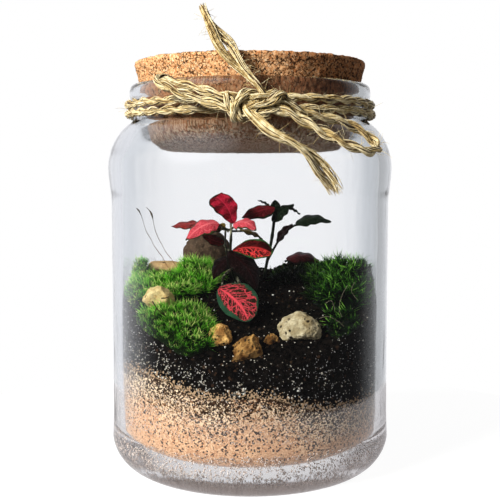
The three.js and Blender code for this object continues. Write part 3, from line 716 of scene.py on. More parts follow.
look = Look("peat_soil")
x, _, z = look.axes()
above_sand = z - sand_top(x)
crumbs = look.noise(1.5 * MM, 4)
colour = look.mixed(crumbs.between(0.35, 0.72), (0.0012, 0.001, 0.0009), (0.009, 0.0065, 0.0052))
colour = look.mixed(look.draw(0.9 * MM).between(0.965, 0.985) * 0.6, colour, (0.07, 0.034, 0.018))
band = above_sand.between(0, 3 * MM) * above_sand.between(15 * MM, 8 * MM)
patches = look.noise(8 * MM, 3).between(0.46, 0.6)
turned = look.place(turn=(0, 1, 0))
speck = look.draw(0.55 * MM, turned) + (band * patches + 0.05) * 0.19
speck_core = look.cells(0.55 * MM, place=turned).between(0.5, 0.28)
colour = look.mixed(speck.between(0.985, 0.995) * speck_core, colour, (0.62, 0.57, 0.49))
mixing = above_sand.between(4.5 * MM, -0.5 * MM) * 0.62
sandy = look.draw(0.5 * MM, look.place(turn=(0, 0, 1))) + mixing
colour = look.mixed(sandy.between(1.0, 1.03), colour, (0.5, 0.33, 0.2))
soil.data.materials.append(look.surface({
    "Base Color": colour,
    "Roughness": 0.9,
    "Specular IOR Level": 0.15,
    "Normal": look.bump(crumbs, 0.8 * MM, 0.8),
}))
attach(soil, "root")
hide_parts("soil")


# The crumbs: loose bits of peat and bark, up to 1.5 mm across, that lie on the soil and make
# its top rough.
def strewn(name, pattern, places, draw):
    """One piece from many copies of a small pattern, each set by its own matrix.
    Each copy carries a random tone, and each point its rise, from 0 at the root to 1."""
    corners = np.array([point.co for point in pattern.data.vertices])
    reach = np.linalg.norm(corners, axis=1)
    rise = (reach - reach.min()) / np.ptp(reach)
    faces = [list(face.vertices) for face in pattern.data.polygons]
    points, all_faces, tones = [], [], []
    for index, place in enumerate(places):
        turn = np.array(place.to_3x3())
        points.append(corners @ turn.T + np.array(place.translation))
        all_faces += [[corner + index * len(corners) for corner in face] for face in faces]
        tones.append(np.full(len(corners), draw.random()))
    mesh = bpy.data.meshes.new(name)
    mesh.from_pydata(np.concatenate(points), [], all_faces)
    for label, values in (("tone", np.concatenate(tones)), ("rise", np.tile(rise, len(points)))):
        layer = mesh.attributes.new(label, "FLOAT", "POINT")
        layer.data.foreach_set("value", values.astype(np.float32))
    piece = bpy.data.objects.new(name, mesh)
    bpy.context.scene.collection.objects.link(piece)
    pick(piece)
    bpy.ops.object.shade_smooth()
    bpy.data.objects.remove(pattern)
    return piece


def crumb(name):
    piece = started(name, bpy.ops.mesh.primitive_ico_sphere_add, subdivisions=1, radius=1)
    return shaped(piece, lambda x, y, z: tuple(
        value * (1 + 0.25 * math.sin(9 * (x + 2 * y - z) * MM)) for value in (x, y, z)))


def scale(x, y, z):
    return Matrix.Diagonal((x * MM, y * MM, z * MM, 1))


def dropped(draw, spot, size, squash=(1, 1, 1)):
    """The matrix of a grain that lies at a spot, turned any way. All in millimetres."""
    angle = draw.uniform(0, 6.28)
    turn = Matrix.Rotation(angle, 4, Vector([draw.gauss(0, 1) for _ in range(3)]))
    return Matrix.Translation(Vector(spot) * MM) @ turn @ scale(*(size * part for part in squash))


def on_soil(draw, reach, lift):
    """A random spot on the soil, within a reach of the middle."""
    radius, angle = reach * math.sqrt(draw.random()), draw.uniform(0, 2 * math.pi)
    x, y = radius * math.cos(angle), radius * math.sin(angle)
    return x, y, soil_height(x, y) + lift


CRUMB_COUNT = 2400
CRUMB_SQUASH = (1, 0.8, 0.65)
draw = random.Random(21)
places = []
for _ in range(CRUMB_COUNT):
    spot = on_soil(draw, 45, 0.2)
    places.append(dropped(draw, spot, draw.uniform(0.2, 0.75), CRUMB_SQUASH))
crumbs_piece = strewn("peat_crumbs", crumb("crumb"), places, draw)
look = Look("peat_crumbs")
colour = look.mixed(look.attribute("tone") ** 8, (0.002, 0.0016, 0.0014), (0.04, 0.024, 0.014))
crumbs_piece.data.materials.append(look.surface({
    "Base Color": colour,
    "Roughness": 0.85,
    "Specular IOR Level": 0.15,
}))
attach(crumbs_piece, "root")


# Perlite: white puffed grains in the soil, in clusters against the glass and strewn on the top.
# A few larger ones and the bleached ring of a tiny shell lie in front of the plants.
def grain_look(name, dark, pale, roughness):
    look = Look(name)
    colour = look.mixed(look.attribute("tone"), dark, pale)
    return look.surface({"Base Color": colour, "Roughness": roughness})


def joined(piece, others):
    """Joins other pieces into one."""
    pick(piece)
    for other in others:
        other.select_set(True)
    bpy.ops.object.join()


WALL_GRAINS = 560
WALL_GRAIN_RADIUS = 45.9
TOP_GRAINS = 60
# The larger grains, each with its x, y and size.
PLACED_GRAINS = [(1.8, -4.4, 0.5), (8.1, -11.3, 0.4), (7.6, -22.3, 0.45), (9.4, -16.5, 0.34),
                 (-8, -38, 0.4)]
FLAT = (1, 1, 0.7)
SHELL_X, SHELL_Y = 12, -33.5
places = []
while len(places) < WALL_GRAINS:
    angle = draw.uniform(0, 2 * math.pi)
    x, y = WALL_GRAIN_RADIUS * math.cos(angle), WALL_GRAIN_RADIUS * math.sin(angle)
    low, high = sand_height(x), soil_height(x, y)
    share = min(abs(draw.gauss(0.25, 0.3)), 0.97)
    height = low + (high - low) * share
    if noise.noise(Vector((x, y, height)) * 0.13) + draw.gauss(0, 0.14) < 0.06:
        continue
    size = draw.uniform(0.12, 0.36) * (1.7 if draw.random() < 0.08 else 1)
    places.append(dropped(draw, (x, y, height), size))
for _ in range(TOP_GRAINS):
    spot = on_soil(draw, 44, 0.5)
    places.append(dropped(draw, spot, draw.uniform(0.1, 0.3)))
for x, y, size in PLACED_GRAINS:
    places.append(dropped(draw, (x, y, soil_height(x, y) + 0.6), size, FLAT))
perlite = strewn("perlite_grains", crumb("grain"), places, draw)
perlite.data.materials.append(grain_look("perlite", (0.22, 0.17, 0.11), (1.0, 0.97, 0.9), 0.8))
shell = started(
    "shell", bpy.ops.mesh.primitive_torus_add, major_segments=20, minor_segments=8,
    major_radius=0.72 * MM, minor_radius=0.2 * MM, rotation=(1.1, 0.3, 0),
    location=Vector((SHELL_X, SHELL_Y, soil_height(SHELL_X, SHELL_Y) + 1)) * MM)
shell.data.materials.append(perlite.data.materials[0])
joined(perlite, [shell])
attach(perlite, "root")


# The dust: fine flakes of peat and sand that cling to the inside of the glass beside the beds.
# Each stands on edge, so that they gather to a haze where the wall is seen at a slant.
def mote(name):
    return started(name, bpy.ops.mesh.primitive_cone_add, vertices=3, radius1=1.2, depth=2)


MOTE_COUNT = 20000
MOTE_RADIUS = 46.14
MOTE_THICKNESS = 0.16
# The haze reaches higher on the left. Its upper edge falls evenly to the right.
HAZE_HEIGHT = 72
HAZE_FALL = 0.5
places = []
while len(places) < MOTE_COUNT:
    angle, height = draw.uniform(0, 2 * math.pi), draw.uniform(20, 76)
    x, y = MOTE_RADIUS * math.cos(angle), MOTE_RADIUS * math.sin(angle)
    if height > soil_height(x, y) + 1 + draw.gauss(0, 2):
        continue
    if height > HAZE_HEIGHT - HAZE_FALL * x + draw.gauss(0, 5):
        continue
    size = draw.uniform(0.06, 0.18) * (1.8 if draw.random() < 0.06 else 1)
    spot = Matrix.Translation(Vector((x, y, height)) * MM) @ Matrix.Rotation(angle, 4, "Z")
    places.append(spot @ scale(MOTE_THICKNESS, size * 0.8, size))
dust = strewn("wall_dust", mote("mote"), places, draw)
look = Look("wall_dust")
x, _, z = look.axes()
tone = look.attribute("tone")
pale_share = tone - x.between(28 * MM, 42 * MM) * 0.22
peaty = look.mixed(pale_share.between(0.74, 0.82), (0.006, 0.004, 0.003), (0.6, 0.58, 0.58))
sandy = look.mixed(tone.between(0.1, 0.3), (0.16, 0.08, 0.04), (0.9, 0.76, 0.68))
above_sand = z - SAND_HEIGHT * MM + SAND_FALL * x
dust.data.materials.append(look.surface({
    "Base Color": look.mixed(above_sand.between(-2 * MM, 1 * MM), sandy, peaty),
    "Roughness": 0.9,
}))
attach(dust, "root")

# The heel grains: single grains of the sand that touch the glass of the heel and the floor, where
# the rest of the bed stands a little off it. They show through the thick glass as speckles.
GRAIN_COUNT = 15000
GRAIN_CURVE = INNER_HEEL_RADIUS + 0.03
# This share of the grains lies on the floor, and the rest climbs the curve of the heel.
FLOOR_SHARE = 0.4
places = []
while len(places) < GRAIN_COUNT:
    angle, run = draw.uniform(0, 2 * math.pi), draw.uniform(0, 1)
    lean = math.radians(-90 + 78 * max(run - FLOOR_SHARE, 0) / (1 - FLOOR_SHARE))
    radius = INNER_RADIUS - INNER_HEEL_RADIUS + GRAIN_CURVE * math.cos(lean)
    height = FLOOR_HEIGHT + INNER_HEEL_RADIUS + GRAIN_CURVE * math.sin(lean)
    radius *= math.sqrt(min(run / FLOOR_SHARE, 1))
    spot = Vector((radius * math.cos(angle), radius * math.sin(angle), height))
    if noise.noise(spot * 0.3) < -0.3:
        continue
    places.append(dropped(draw, spot, draw.uniform(0.12, 0.3), FLAT))
grains = strewn("heel_grains", mote("grain"), places, draw)
# Painted light: the grains are painted paler and greyer than the sand they come from, to lift them out
# of the shade under the bed.
grains.data.materials.append(grain_look("heel_grains", (0.5, 0.38, 0.32), (1.0, 0.89, 0.82), 0.9))
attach(grains, "root")


# The stones: found stones of limestone and sandstone, set into the soil. The cream ones are
# porous, the tan ones coarse and angular, and the brown one lies behind the plants.
def copied(node, name):
    """A finer copy of a solid, to be worked into a finished piece."""
    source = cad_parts[node]
    piece = bpy.data.objects.new(name, source.data.copy())
    bpy.context.scene.collection.objects.link(piece)
    piece.data.materials.clear()
    pick(piece)
    bpy.ops.object.mode_set(mode="EDIT")
    bpy.ops.mesh.select_all(action="SELECT")
    bpy.ops.mesh.remove_doubles(threshold=0.01 * MM)
    bpy.ops.object.mode_set(mode="OBJECT")
    return piece


def stone_look(name, pale, dark, stain, pit_size, pit_share):
    look = Look(name)
    colour = look.mixed(look.noise(2.6 * MM, 5).between(0.32, 0.68), dark, pale)
    colour = look.mixed(look.noise(0.55 * MM, 4).between(0.45, 0.62) * 0.45, colour, dark)
    patch = look.noise(6 * MM, 3, look.place(turn=(1, 1, 0))).between(0.5, 0.68)
    colour = look.mixed(patch * 0.75, colour, stain)
    colour = look.mixed(look.draw(0.45 * MM).between(0.9, 0.95) * 0.5, colour, stain)
    # Painted shade: the pits are only dents of the bump, and they are painted near-black for the shade
    # inside them.
    pits = look.cells(pit_size).between(0.42, 0.3) * look.draw(pit_size).between(*pit_share)
    pits = pits * look.noise(4 * MM, 2).between(0.44, 0.52)
    colour = look.mixed(pits, colour, (0.025, 0.016, 0.01))
    return look.surface({
        "Base Color": colour,
        "Roughness": 0.85,
        "Normal": look.bump(look.noise(0.6 * MM, 4) - pits, 0.45 * MM, 0.9),
    })


CREAM = stone_look("cream_limestone", (0.68, 0.58, 0.39), (0.38, 0.3, 0.17), (0.26, 0.18, 0.08),
                   1.5 * MM, (0.42, 0.46))
YELLOW = stone_look("yellow_limestone", (0.84, 0.67, 0.33), (0.62, 0.44, 0.18), (0.5, 0.26, 0.07),
                    1.9 * MM, (0.86, 0.9))
TAN = stone_look("tan_sandstone", (0.56, 0.31, 0.1), (0.18, 0.075, 0.018), (0.06, 0.022, 0.007),
                 1.1 * MM, (0.5, 0.6))
SANDY = stone_look("granular_sandstone", (0.95, 0.58, 0.2), (0.46, 0.22, 0.06), (0.2, 0.075, 0.02),
                   0.9 * MM, (0.4, 0.5))
BROWN = stone_look("brown_stone", (0.1, 0.062, 0.04), (0.045, 0.03, 0.02), (0.17, 0.11, 0.07),
                   3 * MM, (0.9, 0.95))
SLAB = stone_look("tan_slab", (0.66, 0.45, 0.24), (0.5, 0.31, 0.14), (0.36, 0.2, 0.08),
                  3 * MM, (0.9, 0.95))
ROUNDING_LEVELS = 3
# Each stone's look and slot, and the width and depth of its lumps in millimetres.
STONES = {
    "pebble_left": (YELLOW, "cream_stone", 3.2, 0.8),
    "stone_right": (CREAM, "cream_stone", 3.8, 2.0),
    "stone_front_left": (SANDY, "tan_stone", 1.8, 1.0),
    "stone_front_middle": (TAN, "tan_stone", 1.8, 1.2),
    "stone_small": (TAN, "tan_stone", 1.4, 0.8),
    "slab_back": (SLAB, "tan_stone", 3, 0.5),
    "stone_back": (BROWN, "brown_stone", 5, 1.2),
}
GRIT_DEPTH = {"cream_stone": 0.3, "tan_stone": 0.55, "brown_stone": 0.3}
# The directions in which a stone has broken flat, and the share of its reach that is left.
BREAKS = {
    "pebble_left": [((-0.8, -0.2, 0.55), 0.8), ((0.6, -0.2, 0.75), 0.88), ((0.1, -1, 0.2), 0.86)],
    "stone_front_left": [((-0.6, -0.5, 0.6), 0.8), ((0.8, -0.4, 0.4), 0.8), ((0.1, -1, 0.1), 0.82)],
    "stone_front_middle": [((-0.7, -0.4, 0.6), 0.72), ((0.7, -0.5, 0.5), 0.8), ((0, -1, 0.3), 0.8)],
    "stone_small": [((0.5, -0.7, 0.5), 0.8)],
    "stone_back": [((-0.8, -0.5, 0.5), 0.85)],
}


def broken(piece, way, left):
    """Flattens a stone at a share of its reach in one direction."""
    way = Vector(way).normalized()
    middle = sum((point.co for point in piece.data.vertices), Vector()) / len(piece.data.vertices)
    reach = left * max((point.co - middle).dot(way) for point in piece.data.vertices)
    for point in piece.data.vertices:
        point.co -= way * max((point.co - middle).dot(way) - reach, 0)


for node, (material, slot, lump, depth) in STONES.items():
    rock = copied(node, node + "_rock")
    rounding = rock.modifiers.new("round", "SUBSURF")
    rounding.levels = rounding.render_levels = ROUNDING_LEVELS
    applied(rock)
    for way, left in BREAKS.get(node, []):
        broken(rock, way, left)
    roughened(rock, "CLOUDS", lump * MM, depth * MM, 0.55)
    roughened(rock, "VORONOI", 0.8 * lump * MM, -0.4 * depth * MM, 0.2)
    roughened(rock, "CLOUDS", 0.5 * MM, GRIT_DEPTH[slot] * MM, 0.5)
    rock.data.materials.append(material)
    pick(rock)
    bpy.ops.object.shade_smooth()
    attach(rock, "root")
    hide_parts(node)


# The moss: living cushions pressed on to the soil. The left ones are bright and fine, the
# right ones dark and star-shaped. Each is a low mound thick with leafy shoots.
def moss_shoot(name, leaves, tall, leaf, width, low, high):
    """A stem with narrow pointed leaves all round it. low and high are the leaves' lean."""
    shoot = started(name, bpy.ops.mesh.primitive_cone_add, vertices=3, radius1=0.2 * MM,
                    depth=tall * MM, location=(0, 0, tall / 2 * MM))
    bpy.ops.object.transform_apply(location=True, rotation=True, scale=True)
    bpy.ops.object.mode_set(mode="EDIT")
    for index in range(leaves):
        share = index / (leaves - 1)
        lean, way = low + (high - low) * share, 2.4 * index
        aim = Vector((math.sin(lean) * math.cos(way), math.sin(lean) * math.sin(way), math.cos(lean)))
        length = leaf * (0.8 + 0.3 * math.sin(5 * index))
        middle = Vector((0, 0, tall * (0.3 + 0.65 * share))) + aim * (length / 2)
        bpy.ops.mesh.primitive_cone_add(
            vertices=3, radius1=width * MM, depth=length * MM, location=middle * MM,
            rotation=aim.to_track_quat("Z", "Y").to_euler())
    bpy.ops.object.mode_set(mode="OBJECT")
    return shoot


def mound_spot(mound, share, angle):
    """The point of a mound at a share of its reach, in millimetres."""
    (centre_x, centre_y), (reach_x, reach_y), turn, height = mound
    x, y = share * reach_x * math.cos(angle), share * reach_y * math.sin(angle)
    world_x = centre_x + x * math.cos(turn) - y * math.sin(turn)
    world_y = centre_y + x * math.sin(turn) + y * math.cos(turn)
    rise = height * math.sqrt(max(1 - share ** 2, 0))
    return Vector((world_x, world_y, soil_height(world_x, world_y) + rise))


def kept_within(spot, radius):
    """Moves a point that lies past a radius straight in to it."""
    away = math.hypot(spot.x, spot.y)
    if away > radius:
        spot.x *= radius / away
        spot.y *= radius / away


WALL_RADIUS = 45.4
SHOOT_RADIUS = WALL_RADIUS - 1
SLAB_SPOT = (-32.2, 7)
# Each mound has its middle, its half length and half width, its turn and its height.
CUSHIONS = {
    "moss_back_left": {
        "mounds": [((-28.4, -1), (15.2, 13.6), 0.05, 3.2), ((-19.4, 2), (7.4, 8), 0, 5.6),
                   ((-41.8, 6.8), (4, 5.4), 0.2, 5), ((-37.4, -11), (6.6, 7), 0, 2.6)],
        "density": 0.85, "slot": "moss",
    },
    "moss_front_left": {
        "mounds": [((-25.2, -31.4), (13.6, 9.2), -0.22, 5)],
        "density": 0.9, "slot": "moss",
    },
    "moss_right": {
        "mounds": [((36, -1.4), (14, 15.4), 0, 5.4), ((30.6, -14), (9, 6.6), 0, 4.4),
                   ((16.4, 5.6), (7, 6.4), 0, 0.6)],
        "density": 0.3, "slot": "dark_moss",
    },
    "moss_right_front": {
        "mounds": [((30.6, -28.4), (6, 5), 0.5, 2.6)],
        "density": 0.32, "slot": "dark_moss",
    },
}


def moss_look(name, deep, middle, tip):
    look = Look(name)
    rise, tone = look.attribute("rise"), look.attribute("tone")
    patch = look.noise(6 * MM, 2).between(0.3, 0.7)
    # Painted shade: each shoot runs from the deep colour at its root, where shade falls between the
    # shoots, to the middle green; the domes carry no rise and so are painted all in the deep shade.
    colour = look.mixed(rise.between(0.33, 0.82), deep, middle)
    # Painted highlight: the upper parts of the shoots, most of all the brighter ones, turn to the
    # near-white tip colour.
    bright = rise.between(0.5, 0.9) * (tone ** 3 * 1.4 + patch * 0.25)
    x = look.axes()[0]
    shaded = x.between(27 * MM, 19 * MM) * x.between(0, 8 * MM) * 0.85
    colour = look.mixed(shaded, look.mixed(bright, colour, tip), deep)
    return look.surface({"Base Color": colour, "Roughness": 0.45, "Specular IOR Level": 0.4})


# Each look has its painted shade at the roots, its green, and its painted highlight at the tips.
MOSS_LOOKS = {
    "moss": moss_look("bright_moss", (0.003, 0.009, 0.001), (0.12, 0.56, 0.014), (1.0, 1.0, 0.34)),
    "dark_moss": moss_look("dark_moss", (0.001, 0.003, 0.001), (0.012, 0.095, 0.004), (0.4, 0.9, 0.11)),
}
SHOOTS = {
    "moss": {"leaves": 13, "tall": 2.6, "leaf": 3.2, "width": 0.13, "low": 1.5, "high": 0.25},
    "dark_moss": {"leaves": 14, "tall": 2.2, "leaf": 3.6, "width": 0.16, "low": 1.6, "high": 0.6},
}
# A dome starts as a disc with a radius of 100, so that a point's radius is its share in percent.
DOME_PROFILE = [(1, 0), (100, 0), (99, 1), *((radius, 1) for radius in range(92, 2, -9))]
DOME_SEGMENTS = 32


def domed(mound):
    """The rule that shapes a disc into a mound."""
    def rule(x, y, z):
        spot = mound_spot(mound, math.hypot(x, y) / 100, math.atan2(y, x))
        kept_within(spot, WALL_RADIUS)
        spot.z -= 0.8 if z > 0.5 else 3
        return tuple(spot)
    return rule


for node, cushion in CUSHIONS.items():
    draw = random.Random(node)
    slot = cushion["slot"]
    shoot = moss_shoot("shoot", **SHOOTS[slot])
    places = []
    for mound in cushion["mounds"]:
        reach_x, reach_y = mound[1]
        for _ in range(round(cushion["density"] * math.pi * reach_x * reach_y)):
            share, angle = math.sqrt(draw.random()), draw.uniform(0, 2 * math.pi)
            spot = mound_spot(mound, share, angle)
            outer = mound_spot(mound, min(share + 0.1, 1.05), angle)
            away = math.hypot(spot.x, spot.y)
            if away > WALL_RADIUS + 7:
                continue
            # Shoots that the glass holds in are pushed up or down along it.
            if away > SHOOT_RADIUS:
                kept_within(spot, SHOOT_RADIUS)
                spot.z += draw.uniform(-3, 0.5)
            lean = Vector((outer.x - spot.x, outer.y - spot.y, 0)).normalized() * (0.1 + 0.9 * share)
            way = (lean + Vector((draw.uniform(-0.3, 0.3), draw.uniform(-0.3, 0.3), 1))).normalized()
            # Those under the slab and those at the glass stay small, and the small ones sit low.
            size = draw.uniform(0.7, 1.35) * (1 - 0.65 * math.exp(
                -((spot.x - SLAB_SPOT[0]) / 7.5) ** 4 - ((spot.y - SLAB_SPOT[1]) / 9) ** 4))
            size *= 0.75 if away > WALL_RADIUS - 3 else 1
            turn = way.to_track_quat("Z", "Y").to_matrix().to_4x4()
            spin = Matrix.Rotation(draw.uniform(0, 6.28), 4, "Z")
            spot.z -= 0.9 - 1.6 * noise.noise(spot * 0.16)
            spot.z -= 2.2 * (1.0 - size) if size < 0.7 else 0
            places.append(Matrix.Translation(spot * MM) @ turn @ spin @ Matrix.Scale(size, 4))
    shoots = strewn(node + "_shoots", shoot, places, draw)
    for point in shoots.data.vertices:
        kept_within(point.co, WALL_RADIUS * MM)
    shoots.data.materials.append(MOSS_LOOKS[slot])
    domes = []
    for mound in cushion["mounds"]:
        dome = shaped(turned_up("dome", DOME_PROFILE, DOME_SEGMENTS), domed(mound))
        dome.data.materials.append(MOSS_LOOKS[slot])
        domes.append(dome)
    joined(shoots, domes)
    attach(shoots, "root")
    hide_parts(node)


# The spore stalks: two hair-thin wiry stalks that grow out of the back cushion. Each is brown,
# darker at its top, and swells to a long capsule.
# Each route comes with the share of its run where the capsule is thickest, and the swelling there.
SPORE_STALKS = [
    ([(-29, -4, 72.5), (-32.4, -4, 78.1), (-36.4, -5, 85), (-39, -7, 92.7), (-40, -8, 94.8)],
     0.95, 0.17),
    ([(-25.5, -1, 71.9), (-30.8, -1, 79), (-33.7, -2, 84.9), (-35.4, -4, 92.5), (-36.9, -5, 95.1)],
     0.87, 0.26),
]
STALK_RADIUS = 0.09
look = Look("spore_stalk")
z = look.axes()[2]
colour = look.mixed(z.between(66 * MM, 92 * MM), (0.28, 0.09, 0.025), (0.1, 0.075, 0.045))
stalk_look = look.surface({"Base Color": colour, "Roughness": 0.5})
strands = new_strands("spore_stalks", [stalk_look])
for corners, at, swell in SPORE_STALKS:
    route = smooth_route(corners, 0.8 * MM)
    run = np.linspace(0, 1, len(route))
    add_strand(strands, route, (STALK_RADIUS + swell * np.exp(-((run - at) / 0.05) ** 2)) * MM, 0)
stalks = made_mesh("spore_stalks", strands)
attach(stalks, "root")

# The roots and the twig: pale hair roots hang over the right moss, and a dead dark twig lies
# between the left pebble and the moss in front of it.
ROOTS = [
    [(32.4, -24, 69.2), (30.2, -26, 65.3), (29.5, -27, 61), (30.7, -28, 57.7), (28.7, -32, 54.9)],
    [(25.3, -24, 63), (27.2, -25, 64.1), (28.1, -27, 61.3)],
    [(35, -22, 70), (33.8, -24, 67.1), (35.7, -25, 64.1)],
    [(23, -27, 58.3), (25.7, -28, 59.1), (28.9, -30, 57.7), (30.5, -31, 56.1)],
]
TWIGS = [
    [(-31.3, -32.5, 64.8), (-30, -33.5, 62.7), (-28.8, -34.5, 61.7), (-27.1, -35, 60.4)],
    [(-30, -33.5, 62.7), (-30.5, -34.5, 61), (-30.1, -35, 59.4)],
    [(-28.7, -31.5, 65.7), (-27.3, -32, 65.9), (-26.3, -32, 66.4)],
]


def flecked(name, fleck, dark, pale, roughness):
    look = Look(name)
    colour = look.mixed(look.noise(fleck), dark, pale)
    return look.surface({"Base Color": colour, "Roughness": roughness})


strands = new_strands("roots_and_twig", [
    flecked("hair_root", 2 * MM, (0.13, 0.1, 0.06), (0.4, 0.35, 0.26), 0.6),
    flecked("dead_twig", 1 * MM, (0.012, 0.007, 0.004), (0.06, 0.035, 0.02), 0.8),
])
# The routes, their spacing, and the radius at their first and last points, in millimetres.
for finish, (routes, spacing, first, last) in enumerate([(ROOTS, 0.8, 0.065, 0.04),
                                                         (TWIGS, 0.5, 0.24, 0.12)]):
    for corners in routes:
        route = smooth_route(corners, spacing * MM)
        add_strand(strands, route, np.linspace(first, last, len(route)) * MM, finish)
litter = made_mesh("roots_and_twig", strands)
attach(litter, "root")


# The nerve plants: small fleshy stems with pairs of soft leaves. Each blade is thin, dished
# between its veins and has a scalloped margin. Red veins net the green of the leaf.
LEAF_COLUMNS = 16
LEAF_ROWS = 24
LEAF_THICKNESS = 0.35
LEAF_SCALLOPS = 12
SIDE_VEINS = 8
STEM_SPACING = 0.7
# The stems swell at every node, and the nodes are this far apart.
NODE_SPACING = 7


def leaf_look(name, cell, vein, margin, net, near_margin=0.2, far_margin=0.2, far_half_shade=0.0, deep=0.35):
    """near and far stand for the two halves of the blade, far_half_shade is painted shade that darkens
    the far one, and deep is how dark the darkest blotches are."""
    look = Look(name)
    across, along, _ = look.axes("UV")
    side = abs(across - 0.5) * 2
    near = across.between(0.47, 0.53)
    phase = (along - side * 0.4 + side * side * 0.12) * SIDE_VEINS
    side_vein = (abs(phase % 1 - 0.5) - side * 0.05).between(0.41, 0.48)
    rib = side.between(0.1, 0.03)
    weave = look.node("ShaderNodeCombineXYZ", {}, {0: phase * 1.3, 1: side * 2.7, 2: near * 5})
    mesh = look.cells(1, feature="DISTANCE_TO_EDGE", place=weave).between(0.1, 0.03)
    veins = side_vein.larger(rib).larger(mesh * net)
    blotch = look.noise(2.2 * MM, 4)
    shade = look.mixed(blotch.between(0.35, 0.7), cell, [deep * part for part in cell])
    velvet = look.noise(0.45 * MM, 2).between(0.56, 0.7) * 0.55
    hairs = [min(1.5 * part + 0.04, 1) for part in vein]
    colour = look.mixed(velvet, look.mixed(veins, shade, vein), hairs)
    # Painted shade on the far half of the blade, darker towards the tip.
    dim = across.between(0.62, 0.4) * (0.8 + 0.4 * along) * far_half_shade
    colour = look.mixed(dim, colour, [0.02 * part for part in vein])
    width = near * near_margin + (1 - near) * far_margin
    edge = (side + (blotch - 0.5) * 0.45 + width).between(1.0, 1.06)
    colour = look.mixed(edge.larger(along.between(0.93, 0.98)), colour, margin)
    return look.surface({
        "Base Color": colour,
        "Roughness": 0.42,
        "Specular IOR Level": 0.35,
        "Normal": look.bump(veins * -1 + blotch * 0.6, 0.16 * MM, 0.7),
    })


LEAF_LOOKS = {
    "crimson": leaf_look("crimson_leaf", (0.36, 0.006, 0.022), (0.5, 0.02, 0.05),
                         (0.012, 0.014, 0.006), 0.5, 0.1, 0.14, 0, 0.36),
    "wine": leaf_look("wine_leaf", (0.12, 0.005, 0.008), (0.26, 0.015, 0.025),
                      (0.012, 0.016, 0.006), 0.5, 0.24, 0.24, 0.3),
    # Painted light: the pink look is a lit copy of the red leaf, for the leaves that face the light.
    "pink": leaf_look("lit_pink_leaf", (0.62, 0.04, 0.065), (0.84, 0.16, 0.18), (0.03, 0.04, 0.012), 0.4,
                      0.2, 0.16, 0, 0.7),
    "spotted": leaf_look("spotted_leaf", (0.03, 0.004, 0.002), (0.78, 0.045, 0.045), (0.02, 0.08, 0.02),
                         0.95, 0.2, 0.2, 0.9),
    "netted": leaf_look("netted_leaf", (0.02, 0.014, 0.006), (0.72, 0.06, 0.08), (0.018, 0.06, 0.03),
                        0.75, 0.34, 0.18),
    "russet": leaf_look("russet_leaf", (0.16, 0.012, 0.01), (0.34, 0.035, 0.035),
                        (0.03, 0.02, 0.01), 0.4),
    "garnet": leaf_look("garnet_leaf", (0.04, 0.003, 0.004), (0.09, 0.006, 0.01),
                        (0.01, 0.004, 0.003), 0.4),
    # Painted shade: a near-black copy of the red leaf, with a hint of its maroon underside, for leaves
    # that hang in shade below and behind the others.
    "shaded_maroon": leaf_look("maroon_leaf", (0.004, 0.001, 0.0008), (0.014, 0.0012, 0.0016),
                        (0.003, 0.003, 0.002), 0.4),
    # Painted shade: a near-black green for the back plant's leaves, which stand in shade.
    "dark": leaf_look("dark_leaf", (0.004, 0.009, 0.004), (0.012, 0.024, 0.011),
                      (0.007, 0.013, 0.006), 0.4),
    "olive": leaf_look("olive_leaf", (0.14, 0.09, 0.015), (0.3, 0.2, 0.05), (0.05, 0.05, 0.012), 0.3),
}


def stem_look(name, dark, pale):
    look = Look(name)
    streaks = look.noise(1.2 * MM, 3, look.place(scale=(1, 1, 0.3)))
    # Painted highlight: the pale streaks along the stem stand for light caught on it.
    colour = look.mixed(streaks.between(0.52, 0.68), dark, pale)
    return look.surface({"Base Color": colour, "Roughness": 0.4})


STEM_LOOK = stem_look("nerve_plant_stem", (0.012, 0.012, 0.006), (0.34, 0.32, 0.22))
DARK_STEM_LOOK = stem_look("dark_stem", (0.004, 0.006, 0.003), (0.03, 0.04, 0.02))

